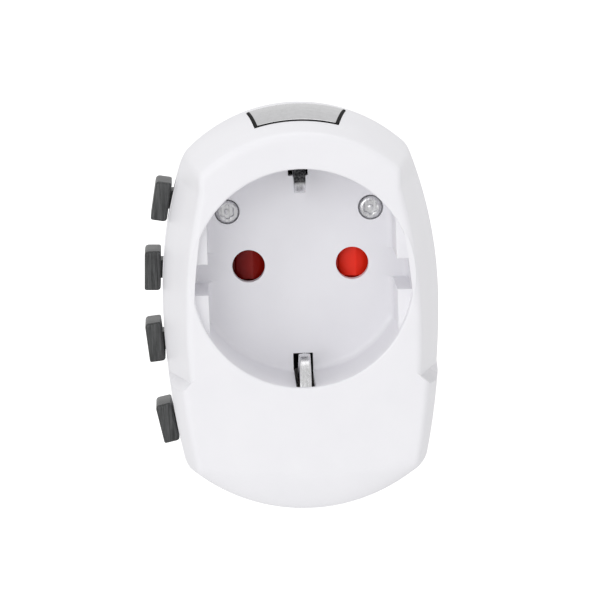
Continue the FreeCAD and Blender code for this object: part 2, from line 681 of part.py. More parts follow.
def fuse_clips():
    """Two spring clips that hold the ends of the fuse."""
    clips = []
    for x0 in (-FUSE_HALF + 0.8, FUSE_HALF - 4.2):
        cheek = FUSE_R + 0.7
        block = box(x0, x0 + 3.4, FUSE_D - cheek, FUSE_D + cheek, FUSE_BASE_Z[1] + 0.02, FUSE_Z + 1.6)
        bore = cross_rod(x0 - 1, x0 + 5, FUSE_D, FUSE_Z, FUSE_R + FIT)
        mouth = box(x0 - 1, x0 + 5, FUSE_D - FUSE_R + 0.5, FUSE_D + FUSE_R - 0.5, FUSE_Z, FUSE_Z + 5)
        clips.append(less(block, [bore, mouth]))
    return clips


def fuse_base():
    """Insulating shelf under the fuse."""
    start = SEAM_DEPTH + LIP_LENGTH + 1.2
    return box(-13.0, 13.0, start, SCREW_END + 0.3, FUSE_BASE_Z[0], FUSE_BASE_Z[1])


# ---------------------------------------------------------------- release button
LOCK_BAR_X = (-7.0, -3.5)
LOCK_BAR_START = 14.0
FLANGE_UNDER_R = dome_radius_at(LOCK_BAR_START) - WALL - 0.3 - FLANGE_T
LOCK_BAR_TOP = math.sqrt(FLANGE_UNDER_R ** 2 - LOCK_BAR_X[0] ** 2) - 0.1
LOCK_BAR_Z = (LOCK_BAR_TOP - 1.0, LOCK_BAR_TOP)
LOCK_BAR_END = CARRIAGE_D - 3.2


def release_button():
    """Curved key flush with the dome, with a hidden flange that keeps it in."""
    shell = less(body_solid(0.0), [body_solid(BUTTON_T)])
    key = shell.common(button_footprint(0.0, 20, REACH))
    flange = less(body_solid(WALL + 0.3), [body_solid(WALL + 0.3 + FLANGE_T)])
    flange = flange.common(button_footprint(1.2, 20, REACH))
    neck = less(body_solid(BUTTON_T - 0.1), [body_solid(WALL + 0.5)])
    neck = neck.common(button_footprint(-0.8, 20, REACH))
    return joined([key, neck, flange])


def lock_bar():
    """Bar carried by the button; its hook frees the plug sets."""
    low, high = LOCK_BAR_Z
    stem = box(LOCK_BAR_X[0], LOCK_BAR_X[1], LOCK_BAR_START, 18.0, high - 0.5, REACH)
    stem = stem.common(body_solid(WALL + 0.3 + FLANGE_T + 0.02))
    bar = box(LOCK_BAR_X[0], LOCK_BAR_X[1], LOCK_BAR_START, LOCK_BAR_END, low, high)
    hook = box(LOCK_BAR_X[0], LOCK_BAR_X[1], LOCK_BAR_END - 1.6, LOCK_BAR_END, low - 3.5, low + 0.5)
    return joined([bar, hook, stem])


def button_spring():
    """Spring between the cup and the button flange."""
    base = CUP_R + CUP_WALL + 0.35
    middle_d = 11.0
    top = dome_radius_at(middle_d) - WALL - 0.3 - FLANGE_T - 0.6
    return coil(1.6, 0.22, top - base, 4, Vector(2.5, middle_d, base), Vector(0, 0, 1))


# ---------------------------------------------------------------- plug set pieces
def carriage(pins, blocks, knob_z, arm):
    """Sliding insulator: blocks in its own band, a left arm, pin and rail holes."""
    arm_x, arm_low, arm_high = arm
    d0 = CARRIAGE_D
    d1 = CARRIAGE_D + CARRIAGE_T
    plates = [box(x0, x1, d0, d1, z0, z1) for x0, x1, z0, z1 in blocks]
    body = joined(plates).common(RUNWAY)
    arm_end = ARM_FOOT_D + ARM_T * 0.75
    bar = box(arm_x, arm_x + ARM_T, KNOB_D - STEM_LENGTH / 2, arm_end, arm_low, arm_high)
    foot = box(arm_x, LEG_INNER_X, ARM_FOOT_D, arm_end, arm_low, arm_high - 0.5)
    leg_x = max(arm_x, blocks[-1][0])
    leg = box(leg_x, LEG_INNER_X, ARM_FOOT_D, d1, arm_low, arm_high - 0.5)
    body = joined([body, bar, foot, leg])
    cutters = []
    for name, pin in pins.items():
        if pin in (A_PINS["live"], A_PINS["neutral"]):
            cutters.append(rod(pin.x, pin.z, TURRET_R - 0.6, d0 - 1, d1 + 1))
            cutters.append(rod(pin.x, pin.z, TURRET_FLANGE_R + FIT, d0 + 1.2, d1 + 1))
        else:
            cutters.append(pin.bar(d0 - 1, d1 + 1, FIT))
        cutters.append(pin.rail(d0 - 1, d1 + 1, SLIDE_GAP))
    half = TENON_LENGTH / 2 + FIT
    pocket = box(arm_x - 1, arm_x + TENON_DEPTH + FIT, KNOB_D - half, KNOB_D + half,
                 knob_z - TENON_HEIGHT / 2 - FIT, knob_z + TENON_HEIGHT / 2 + FIT)
    cutters.append(pocket)
    return less(body, cutters)


def plain_pin(pin):
    """Solid pin with a tail in front of the carriage and a rounded tip."""
    tail = CARRIAGE_D - 0.25
    tip = BODY_DEPTH - TRAVEL + pin.reach
    bar = pin.bar(tail, tip)
    edges = [e for e in bar.Edges if e.BoundBox.YMin > tip - 0.01]
    return bar.makeFillet(0.6, edges)


def blade(pin):
    """Flat blade with a round tail that lets it turn with its turret."""
    tip = BODY_DEPTH - TRAVEL + pin.reach
    flat = pin.bar(CARRIAGE_D + 0.6, tip)
    edges = [e for e in flat.Edges if e.BoundBox.YMin > tip - 0.01 and e.Length > 2]
    flat = flat.makeChamfer(0.4, edges)
    tail = rod(pin.x, pin.z, 1.5, CARRIAGE_D - 0.25, CARRIAGE_D + 1.0)
    return joined([flat, tail])


def turret(pin):
    """Round insulator that turns one blade; flush with the wall face when out."""
    flange = rod(pin.x, pin.z, TURRET_FLANGE_R, CARRIAGE_D + 1.25, CARRIAGE_D + CARRIAGE_T - 0.05)
    neck = rod(pin.x, pin.z, TURRET_R - 0.65, CARRIAGE_D + 0.1, CARRIAGE_D + 1.5)
    drum_end = BODY_DEPTH - TRAVEL - 0.2
    drum = rod(pin.x, pin.z, TURRET_R, CARRIAGE_D + CARRIAGE_T - 0.3, drum_end)
    body = joined([flange, neck, drum])
    slot = pin.bar(CARRIAGE_D + 0.55, drum_end + 1, FIT)
    core = rod(pin.x, pin.z, 1.5 + FIT, CARRIAGE_D - 1, CARRIAGE_D + 1.05)
    return less(body, [slot, core])


def insulating_sleeves(pins, length):
    """Thin collars round the roots of the two pole pins."""
    sleeves = []
    d0 = CARRIAGE_D + CARRIAGE_T + 0.02
    for name in ("live", "neutral"):
        pin = pins[name]
        sleeves.append(pin.bar(d0, d0 + length, 0.25).cut(pin.bar(d0 - 1, d0 + length + 1, 0.02)))
    return sleeves


def knob(z, tilt, arm_x):
    """Thumb knob: plate outside the flank, stem through the slot, square tenon."""
    surface = flank_x(KNOB_D, z)
    centre_x = -(surface + KNOB_GAP + KNOB_T / 2)
    half_l = KNOB_LENGTH / 2
    half_h = KNOB_HEIGHT / 2
    plate = box(-KNOB_T / 2, KNOB_T / 2, -half_l, half_l, -half_h, half_h)
    plate = plate.makeFillet(0.45, plate.Edges)
    turn = FreeCAD.Rotation(Vector(0, 1, 0), tilt)
    plate.Placement = FreeCAD.Placement(Vector(centre_x, KNOB_D, z), turn)
    half_s = STEM_LENGTH / 2
    half_t = STEM_HEIGHT / 2
    half_l = TENON_LENGTH / 2
    half_h = TENON_HEIGHT / 2
    stem = box(centre_x, arm_x - FIT, KNOB_D - half_s, KNOB_D + half_s, z - half_t, z + half_t)
    tenon = box(arm_x - 1, arm_x + TENON_DEPTH, KNOB_D - half_l, KNOB_D + half_l, z - half_h, z + half_h)
    return joined([plate, stem, tenon])


# plate blocks of each carriage as (x low, x high, z low, z high); the last one meets the arm
BLOCKS = {
    "type_j": [(-12.2, 12.2, 1.6, 11.8), (-16.8, -11.0, 9.0, 12.6)],
    "type_g": [(12.7, 16.3, -8.4, 16.0), (-3.6, 16.3, 12.3, 21.3), (-20.5, 16.3, -8.4, 1.1)],
    "type_ab": [(-20.5, 15.5, -27.9, -8.9)],
    "type_l": [(-18.0, 14.5, -34.4, -28.4)],
}
# outer face, low edge and high edge of each knob arm
ARMS = {
    "type_j": (7.5 - HALF_WIDTH, 9.9, 12.9),
    "type_g": (4.7 - HALF_WIDTH, -3.6, 0.8),
    "type_ab": (4.7 - HALF_WIDTH, -17.0, -12.6),
    "type_l": (6.7 - HALF_WIDTH, -32.2, -28.4),
}


def detent_springs():
    """One bent leaf per plug set on the right wall of the housing."""
    leaves = []
    for z in (9.0, -4.0, -15.0, -25.0):
        wall_x = min(flank_x(SEAM_DEPTH + 3, z + side) for side in (-1.4, 1.4)) - WALL - 0.25
        start = SEAM_DEPTH + 2.8
        leaf = box(wall_x - 2.0, wall_x - 1.5, start, start + 7.7, z - 1.4, z + 1.4)
        foot = box(wall_x - 2.0, wall_x, start, start + 0.6, z - 1.4, z + 1.4)
        leaves.append(joined([leaf, foot]))
    return leaves


# ---------------------------------------------------------------- write it all
save("front_cover", front_cover())
save("main_housing", main_housing())
save("rear_cover", rear_cover())
save("front_screws", front_screws())
save("rear_screw", rear_screw())
save("contact_block", contact_block())
save("live_socket_contact", socket_contact(PIN_PITCH / 2))
save("neutral_socket_contact", socket_contact(-PIN_PITCH / 2))
save("shutter", shutter())
save("shutter_spring", shutter_spring())
save("earth_clip_top", earth_clip())
save("earth_clip_bottom", earth_clip().mirror(Vector(0, 0, 0), Vector(0, 0, 1)))
save("earth_strap", earth_strap())
save("live_bus", live_bus())
save("neutral_bus", mirrored(live_bus()))
save("earth_bus", earth_bus())
save("fuse", fuse())
save("fuse_clips", fuse_clips())
save("fuse_base", fuse_base())
save("release_button", release_button())
save("lock_bar", lock_bar())
save("button_spring", button_spring())
save("detent_springs", detent_springs())

SETS = {"type_j": J_PINS, "type_g": G_PINS, "type_ab": A_PINS, "type_l": L_PINS}
SLEEVE_LENGTH = {"type_j": 9.0, "type_g": 8.0, "type_l": 9.0}
for set_name, pins in SETS.items():
    knob_z, knob_tilt = KNOBS[set_name]
    save(set_name + "_carriage", carriage(pins, BLOCKS[set_name], knob_z, ARMS[set_name]))
    save(set_name + "_knob", knob(knob_z, knob_tilt, ARMS[set_name][0]))
    for pole, pin in pins.items():
        turning = set_name == "type_ab" and pole != "earth"
        shape = blade(pin) if turning else plain_pin(pin)
        save(set_name + "_" + pole + "_pin", shape)
        if turning:
            save(set_name + "_" + pole + "_turret", turret(pin))
    if set_name in SLEEVE_LENGTH:
        save(set_name + "_pin_sleeves", insulating_sleeves(pins, SLEEVE_LENGTH[set_name]))
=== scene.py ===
import json
import math

import bmesh
import bpy
import numpy as np
from mathutils import Matrix, Vector


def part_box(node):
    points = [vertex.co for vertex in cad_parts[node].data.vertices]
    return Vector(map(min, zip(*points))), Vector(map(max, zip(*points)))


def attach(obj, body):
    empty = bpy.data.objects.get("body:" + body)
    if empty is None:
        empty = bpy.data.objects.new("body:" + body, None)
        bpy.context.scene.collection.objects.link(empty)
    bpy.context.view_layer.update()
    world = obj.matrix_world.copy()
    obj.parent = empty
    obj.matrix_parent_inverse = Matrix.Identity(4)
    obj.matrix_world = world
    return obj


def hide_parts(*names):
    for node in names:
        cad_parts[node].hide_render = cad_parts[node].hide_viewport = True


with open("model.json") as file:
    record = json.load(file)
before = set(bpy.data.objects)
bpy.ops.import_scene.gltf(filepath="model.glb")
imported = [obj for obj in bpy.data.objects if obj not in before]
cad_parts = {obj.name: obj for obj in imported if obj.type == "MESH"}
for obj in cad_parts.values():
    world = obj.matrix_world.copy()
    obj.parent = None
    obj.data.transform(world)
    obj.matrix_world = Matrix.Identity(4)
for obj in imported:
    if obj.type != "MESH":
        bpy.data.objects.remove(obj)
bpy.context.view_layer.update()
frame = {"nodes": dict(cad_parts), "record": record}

# Shapes are worked out in millimetres in the CAD frame and written to the meshes in metres:
# origin at the middle of the socket mouth, +Y into the body (a depth is a Y value), +Z up.
MM = 0.001
WELD = 2e-7                # metres: points closer than this are one point

# ---------------------------------------------------------------- sizes shared with the CAD part
STATION_DEPTH = np.array([0.0, 2.0, 6.0, 13.0, 22.0, 40.0, 66.0])
DOME_R = np.array([26.3, 26.8, 27.6, 28.7, 29.2, 27.3, 23.7])
HALF_WIDTH = np.array([22.7, 23.3, 24.2, 25.1, 25.5, 25.2, 23.7])
LOWEST_Z = np.array([-36.7, -40.6, -43.2, -44.3, -44.5, -43.8, -41.5])
CHIN_R = np.array([90.0, 41.0, 32.0, 33.0, 35.0, 36.0, 36.0])
WIDEST_Z = -7.0
UPPER_SIDE_R = 78.0
LOWER_SIDE_R = 134.0
SEAM_DEPTH = 24.0
BODY_DEPTH = 66.0
PLATE_DEPTH = 64.0
WALL = 2.0
PANEL = 2.2
LIP_INSET = 1.05           # lip of the front cover inside the main housing
LIP_LENGTH = 1.9
RABBET_INSET = 1.0

SCALLOP_DEPTH = 24.0
SCALLOP_Z = np.array([15.9, -3.0, -20.0])
SCALLOP_FRONT_X = np.array([18.0, 20.9, 20.5])
SCALLOP_REAR_X = np.array([22.4, 25.8, 25.2])
SCALLOP_REAR_MID_Z = -5.0
SCALLOP_STEP_SLOPE = 3.6 / 2.8

CUP_R = 19.85
CUP_DEPTH = 17.5
CUP_WALL = 1.7
FLOOR_T = 2.0
FLAT_X = 17.0
FLAT_START = 2.5
GROOVE_HALF = 2.8

FLANGE_GAP = 0.3           # release key: its flange hangs this far under the shell
FLANGE_T = 1.0
KEY_FRONT, KEY_REAR = 7.2, 20.6
KEY_FRONT_X = (-7.5, 7.1)
KEY_REAR_X = (-8.8, 9.0)
KEY_GAP = 0.3

CLIP_SLOT_HALF = 1.75
CLIP_SLOT_START = 0.8
RECESS_HEAD_R = 2.3
REAR_POCKET_R = 2.5
SCREW_SEAT = 18.62         # depth at which a floor screw's head rests
BOSS_X = 13.14
BOSS_R = 2.7
BOSS_START = 24.4
BOSS_END = 34.5
BOSS_BORE = 1.47
RIB_START = 26.4
POST_Z = -37.2             # post for the wall plate's screw
POST_R = 2.3
POST_START = 52.0
PIN_GAP = 0.3              # around each pin in the wall plate
TURRET_R = 4.2

KNOB_THICK, KNOB_LENGTH, KNOB_HEIGHT = 3.0, 9.6, 7.3
KNOB_FILLET = 0.45
STEM_LENGTH, STEM_HEIGHT = 6.0, 3.3
TENON_LENGTH, TENON_HEIGHT, TENON_DEPTH = 3.0, 2.0, 1.3
TRAVEL = 22.5
SLOT_GAP = 0.35
PIN_HALF_PITCH = 9.5


# ---------------------------------------------------------------- mesh helpers
def node_box(name):
    """Lowest and highest corner of a CAD node, in millimetres."""
    low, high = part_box(name)
    return np.array(low) / MM, np.array(high) / MM


def mesh_from_grid(points, close_u=True, close_v=False):
    """Quads over a grid of points, rows along v and columns along u, closed where asked."""
    rows, columns = points.shape[:2]
    index = np.arange(rows * columns).reshape(rows, columns)
    if close_u:
        index = np.concatenate([index, index[:, :1]], axis=1)
    if close_v:
        index = np.concatenate([index, index[:1]], axis=0)
    quads = np.stack([index[:-1, :-1], index[:-1, 1:], index[1:, 1:], index[1:, :-1]], axis=-1)
    return points.reshape(-1, 3), quads.reshape(-1, 4).tolist()


def capped(points):
    """Closed tube: a grid of closed rings whose first and last ring shrink to one point each."""
    columns = points.shape[1]
    first = np.repeat(points[:1].mean(axis=1, keepdims=True), columns, axis=1)
    last = np.repeat(points[-1:].mean(axis=1, keepdims=True), columns, axis=1)
    return np.concatenate([first, points, last], axis=0)


def make_piece(name, parts, material, body, nodes, sharp=35.0):
    """One object from several (points, faces) parts, welded, facing outwards and smooth."""
    points, faces = joined(parts)
    piece = new_object(name, points, faces)
    clean_mesh(piece.data)
    shade(piece.data, material, sharp)
    if nodes:
        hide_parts(*nodes)
    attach(piece, body)
    return piece


def new_object(name, points, faces):
    """Object in the scene from points in millimetres and faces."""
    mesh = bpy.data.meshes.new(name)
    mesh.from_pydata((np.asarray(points) * MM).tolist(), [], faces)
    holder = bpy.data.objects.new(name, mesh)
    bpy.context.scene.collection.objects.link(holder)
    return holder


def clean_mesh(mesh):
    """Weld doubles, drop faces of no area and turn every face outwards."""
    work = bmesh.new()
    work.from_mesh(mesh)
    bmesh.ops.remove_doubles(work, verts=work.verts, dist=WELD)
    bmesh.ops.dissolve_degenerate(work, edges=work.edges, dist=WELD / 2)
    bmesh.ops.recalc_face_normals(work, faces=work.faces)
    work.to_mesh(mesh)
    work.free()


def shade(mesh, material, sharp):
    """One material, smooth shading, and sharp edges past an angle in degrees."""
    mesh.materials.clear()
    mesh.materials.append(material)
    mesh.polygons.foreach_set("use_smooth", np.ones(len(mesh.polygons), dtype=bool))
    mesh.set_sharp_from_angle(angle=math.radians(sharp))


def cut_away(piece, cutters, sharp=35.0):
    """Take closed cutter parts out of a piece, each in turn."""
    holders = []
    for points, faces in cutters:
        holder = new_object("cutter", points, faces)
        clean_mesh(holder.data)
        holders.append(holder)
        step = piece.modifiers.new("cut", "BOOLEAN")
        step.operation = "DIFFERENCE"
        step.solver = "EXACT"
        step.object = holder
    bpy.context.view_layer.update()
    graph = bpy.context.evaluated_depsgraph_get()
    result = bpy.data.meshes.new_from_object(piece.evaluated_get(graph))
    piece.modifiers.clear()
    material = piece.data.materials[0]
    piece.data = result
    for holder in holders:
        bpy.data.objects.remove(holder)
    work = bmesh.new()
    work.from_mesh(result)
    bmesh.ops.remove_doubles(work, verts=work.verts, dist=WELD)
    work.to_mesh(result)
    work.free()
    shade(result, material, sharp)


def smooth_min(a, b, blend):
    """The lesser of two arrays, with the crossing rounded over a width called blend."""
    share = np.clip(0.5 + 0.5 * (b - a) / blend, 0.0, 1.0)
    return b + (a - b) * share - blend * share * (1.0 - share)


def quarter(start, corner, end, steps):
    """Quadratic curve from start to end that leans towards the corner, as (steps, 2)."""
    t = np.linspace(0.0, 1.0, steps)[:, None]
    start, corner, end = (np.asarray(p, dtype=float) for p in (start, corner, end))
    return (1 - t) ** 2 * start + 2 * t * (1 - t) * corner + t ** 2 * end


def revolved(profile, centre, columns=64):
    """Ring surface round an axis along the depth; profile is (radius, depth) from pole to pole."""
    angle = np.linspace(0.0, 2 * np.pi, columns, endpoint=False)
    radius, depth = np.asarray(profile, dtype=float).T
    x = centre[0] + radius[:, None] * np.sin(angle)
    z = centre[1] + radius[:, None] * np.cos(angle)
    y = np.broadcast_to(depth[:, None], x.shape)
    return mesh_from_grid(np.stack([x, y, z], axis=-1))


def rounded_block(low, high, radius, steps=10):
    """Block with rounded edges: each point of a cube's faces is held back by the radius and
    then pushed out by the radius along the direction from the held-back point."""
    low, high = np.asarray(low, dtype=float), np.asarray(high, dtype=float)
    middle, half = (low + high) / 2, (high - low) / 2
    radius = min(radius, 0.98 * half.min())
    line = np.linspace(-1.0, 1.0, steps)
    core = half - radius
    parts = []
    for axis in range(3):
        for side in (-1.0, 1.0):
            a, b = np.meshgrid(line, line, indexing="ij")
            cube = np.empty(a.shape + (3,))
            cube[..., axis] = side
            cube[..., (axis + 1) % 3] = a
            cube[..., (axis + 2) % 3] = b
            out = ease_to_edges(cube, half, radius)
            held = np.clip(out, -core, core)
            away = out - held
            away /= np.maximum(np.linalg.norm(away, axis=-1, keepdims=True), 1e-9)
            parts.append(mesh_from_grid(middle + held + radius * away, close_u=False))
    return joined(parts)


def ease_to_edges(cube, half, radius):
    """Spread the grid lines of a unit cube so that most of them fall on the rounded edges."""
    share = np.clip(1.0 - 1.2 * radius / half, 0.05, 0.95)
    size = np.abs(cube)
    inner = np.minimum(size / 0.5, 1.0) * share
    outer = share + np.clip((size - 0.5) / 0.5, 0.0, 1.0) * (1.0 - share)
    return np.sign(cube) * np.where(size < 0.5, inner, outer) * half


def joined(parts):
    """Several (points, faces) parts as one."""
    points, faces, start = [], [], 0
    for part_points, part_faces in parts:
        points.append(part_points)
        faces += [[i + start for i in face] for face in part_faces]
        start += len(part_points)
    return np.concatenate(points), faces


def turned(part, centre, degrees):
    """A part turned about a line along the depth through centre (x, z), as the CAD turns it."""
    points, faces = part
    angle = math.radians(degrees)
    x, z = points[:, 0] - centre[0], points[:, 2] - centre[1]
    turned_x = centre[0] + x * math.cos(angle) + z * math.sin(angle)
    turned_z = centre[1] - x * math.sin(angle) + z * math.cos(angle)
    return np.stack([turned_x, points[:, 1], turned_z], axis=-1), faces


# ---------------------------------------------------------------- body surface
def natural_curve(xs, ys):
    """Natural cubic curve through the points (xs, ys), as a function of arrays."""
    gap = np.diff(xs)
    count = len(xs)
    system = np.eye(count)
    right = np.zeros(count)
    for i in range(1, count - 1):
        system[i, i - 1:i + 2] = gap[i - 1], 2 * (gap[i - 1] + gap[i]), gap[i]
        right[i] = 6 * ((ys[i + 1] - ys[i]) / gap[i] - (ys[i] - ys[i - 1]) / gap[i - 1])
    bend = np.linalg.solve(system, right)

    def curve(x):
        x = np.asarray(x, dtype=float)
        i = np.clip(np.searchsorted(xs, x) - 1, 0, count - 2)
        h, a, b = gap[i], xs[i + 1] - x, x - xs[i]
        cubic = (bend[i] * a ** 3 + bend[i + 1] * b ** 3) / (6 * h)
        line = (ys[i] / h - bend[i] * h / 6) * a + (ys[i + 1] / h - bend[i + 1] * h / 6) * b
        return cubic + line
    return curve


dome_curve = natural_curve(STATION_DEPTH, DOME_R)
width_curve = natural_curve(STATION_DEPTH, HALF_WIDTH)
low_curve = natural_curve(STATION_DEPTH, LOWEST_Z)
chin_curve = natural_curve(STATION_DEPTH, 1.0 / CHIN_R)


def body_radius(angle, depth, inset=0.0):
    """Distance from the socket axis to the skin, by angle from +Z and depth: a ray from the
    axis meets the dome, flank and chin circles, and the nearest one counts."""
    x, z = np.abs(np.sin(angle)), np.cos(angle)

    def meets(cx, cz, r):
        along = x * cx + z * cz
        return along + np.sqrt(along ** 2 - cx ** 2 - cz ** 2 + (r - inset) ** 2)

    width = width_curve(depth)
    low = low_curve(depth)
    chin_r = 1.0 / chin_curve(depth)
    upper = meets(width - UPPER_SIDE_R, WIDEST_Z, UPPER_SIDE_R)
    lower = meets(width - LOWER_SIDE_R, WIDEST_Z, LOWER_SIDE_R)
    flank = np.where(upper * z > WIDEST_Z, upper, lower)
    chin = np.where(z < -0.2, meets(0.0 * width, low + chin_r, chin_r), 90.0)
    dome = np.where(z > -0.2, dome_curve(depth) - inset, 90.0)
    return smooth_min(smooth_min(flank, dome, 0.5), chin, 0.9)


def scallop_x(z, share):
    """Half width of the scalloped flank at height z: a straight line above, a bowed line down
    to the step, then a line running outwards. Share goes from 0 at the panel to 1 at the seam."""
    xs = SCALLOP_FRONT_X + (SCALLOP_REAR_X - SCALLOP_FRONT_X) * share
    zs = SCALLOP_Z.copy()
    zs[1] += (SCALLOP_REAR_MID_Z - SCALLOP_Z[1]) * share
    bow = np.polyval(np.polyfit(zs, xs, 2), z)
    step = xs[2] + (zs[2] - z) * SCALLOP_STEP_SLOPE
    return np.where(z > zs[0], xs[0], np.where(z < zs[2], step, bow))


def skin_radius(angle, depth, inset=0.0):
    """Body radius with the finger scallops taken off both flanks ahead of the seam."""
    radius = body_radius(angle, depth, inset)
    if depth > SCALLOP_DEPTH + 0.01:
        return radius
    z = np.linspace(34.0, -32.0, 1200)
    x = scallop_x(z, depth / SCALLOP_DEPTH) - inset
    folded = np.abs((angle + np.pi) % (2 * np.pi) - np.pi)
    scallop = np.interp(folded, np.arctan2(x, z), np.hypot(x, z), left=90.0, right=90.0)
    return smooth_min(radius, scallop, 0.7)


def ring_rows(profile, angle):
    """Rows of points from (radius array, depth) pairs."""
    rows = []
    for radius, depth in profile:
        radius = np.broadcast_to(radius, angle.shape)
        depth = np.broadcast_to(depth, angle.shape)
        rows.append(np.stack([radius * np.sin(angle), depth, radius * np.cos(angle)], axis=-1))
    return np.array(rows)


def rounded_corner(start, corner, end, steps=6):
    """Rows along a rounded corner; each point is a (radius array, depth array) pair."""
    rows = []
    for t in np.linspace(0.0, 1.0, steps):
        a, b, c = (1 - t) ** 2, 2 * t * (1 - t), t ** 2
        radius = a * start[0] + b * corner[0] + c * end[0]
        depth = a * start[1] + b * corner[1] + c * end[1]
        rows.append((radius, depth))
    return rows


def cup_radius(angle, depth):
    """Distance from the axis to the cup wall: a circle, held in by the side flats behind the
    shelf, with the two locating grooves running out to the circle again."""
    if depth <= FLAT_START:
        return np.full(angle.shape, CUP_R)
    side = FLAT_X / np.maximum(np.abs(np.sin(angle)), 1e-6)
    groove = GROOVE_HALF / np.maximum(np.abs(np.cos(angle)), 1e-6)
    return np.minimum(CUP_R, np.maximum(side, groove))


def shell_angles():
    """Even angles all round, with more of them at the grooves, flats and corners."""
    even = np.linspace(0.0, 2 * np.pi, 400, endpoint=False)
    extra = []
    near = math.atan2(FLAT_X, GROOVE_HALF)
    far = math.asin(math.sqrt(1 - (GROOVE_HALF / CUP_R) ** 2))
    flat_end = math.asin(FLAT_X / CUP_R)
    for base in (0.0, np.pi):
        for sign in (-1.0, 1.0):
            extra.append(base + sign * np.linspace(near - 0.004, far + 0.004, 9))
            extra.append(base + sign * (flat_end + np.array([-0.004, 0.0, 0.004])))
    step = math.atan2(SCALLOP_FRONT_X[2], SCALLOP_Z[2])
    for sign in (-1.0, 1.0):
        extra.append(sign * np.linspace(step - 0.13, step + 0.05, 70))
    every = np.concatenate([even] + extra) % (2 * np.pi)
    every = np.sort(every)
    return every[np.concatenate([[True], np.diff(every) > 3e-4])]


# ---------------------------------------------------------------- cutters
def box_cutter(x0, x1, d0, d1, z0, z1, radius=0.2):
    """Rounded block between the given limits in x, depth and z, to cut with."""
    return rounded_block((x0, d0, z0), (x1, d1, z1), radius, steps=8)


def hole_cutter(centre, radius, mouth, d0, d1, flare=0.2):
    """Round hole whose mouth is rounded over by the flare; mouth is the depth of its surface,
    and the cutter starts outside it at d0 and ends inside at d1."""
    inward = 1.0 if d1 > mouth else -1.0
    profile = [(0.0, d0), (radius + flare, d0)]
    for r, d in quarter((radius + flare, mouth), (radius, mouth), (radius, mouth + inward * flare), 6):
        profile.append((r, d))
    profile += [(radius, d1), (0.0, d1)]
    return revolved(profile, centre)


# ---------------------------------------------------------------- white shell
def front_cover(material):
    """Front panel, dome front and socket in one closed skin: rings about the socket axis run
    from the middle of the cup floor out over the wall, the rim, the panel and the flank to the
    seam, and back along the inside."""
    angle = shell_angles()
    edge = 1.3
    rim = 0.45
    fillet = 1.3
    cup = cup_radius(angle, CUP_DEPTH)
    rows = [(cup * share, CUP_DEPTH) for share in (0.0, 0.15, 0.35, 0.6, 0.8)]
    rows += rounded_corner((cup - fillet, CUP_DEPTH), (cup, CUP_DEPTH), (cup, CUP_DEPTH - fillet), 9)
    rows += [(cup, d) for d in np.linspace(CUP_DEPTH - fillet - 1.0, FLAT_START + 0.35, 8)]
    full = np.full(angle.shape, CUP_R)
    shelf_in = cup + (full - cup) * 0.15
    shelf_out = cup + (full - cup) * 0.9
    rows += rounded_corner((cup, FLAT_START + 0.3), (cup, FLAT_START), (shelf_in, FLAT_START), 5)
    rows += rounded_corner((shelf_out, FLAT_START), (full, FLAT_START), (full, FLAT_START - 0.2), 4)
    rows += [(full, 1.6), (full, 1.0)]
    rows += rounded_corner((full, rim), (full, 0.0), (full + rim, 0.0), 7)
    edge_front = skin_radius(angle, 0.0)
    for share in (0.12, 0.3, 0.5, 0.7, 0.88):
        rows.append((full + rim + (edge_front - edge - full - rim) * share, 0.0))
    edge_back = skin_radius(angle, edge)
    rows += rounded_corner((edge_front - edge, 0.0), (edge_front, 0.0), (edge_back, edge), 9)
    depths = [np.linspace(edge + 0.5, 8.0, 13), np.linspace(9.0, SEAM_DEPTH - 0.25, 15)]
    for depth in np.concatenate(depths):
        rows.append((skin_radius(angle, depth), depth))
    seam = skin_radius(angle, SEAM_DEPTH)
    body = body_radius(angle, SEAM_DEPTH)
    rows.append((seam - 0.18, SEAM_DEPTH - 0.05))
    rows.append((body - LIP_INSET, SEAM_DEPTH))
    rows.append((body - LIP_INSET, SEAM_DEPTH + LIP_LENGTH))
    rows.append((body - WALL, SEAM_DEPTH + LIP_LENGTH))
    thin = 0.5
    floor_back = CUP_DEPTH + FLOOR_T
    back = np.minimum(CUP_R + CUP_WALL, skin_radius(angle, CUP_DEPTH) - thin)
    for depth in np.linspace(SEAM_DEPTH - 2.0, PANEL, 10):
        wall = np.minimum(back, skin_radius(angle, depth) - thin) + 0.03
        rows.append((np.maximum(skin_radius(angle, depth, WALL), wall), depth))
    outside_cup = np.minimum(back, skin_radius(angle, PANEL) - thin)
    for share in np.linspace(0.0, 1.0, 6):
        depth = PANEL + (floor_back - PANEL) * share
        rows.append((outside_cup + (back - outside_cup) * share, depth))
    rows.append((back * 0.5, floor_back))
    rows.append((back * 0.0, floor_back))
    skin = mesh_from_grid(ring_rows(rows, angle))
    piece = make_piece("front_shell", [skin], material, "housing", ["front_cover"], 30.0)
    cut_away(piece, front_cover_cutters(), 30.0)
    return piece


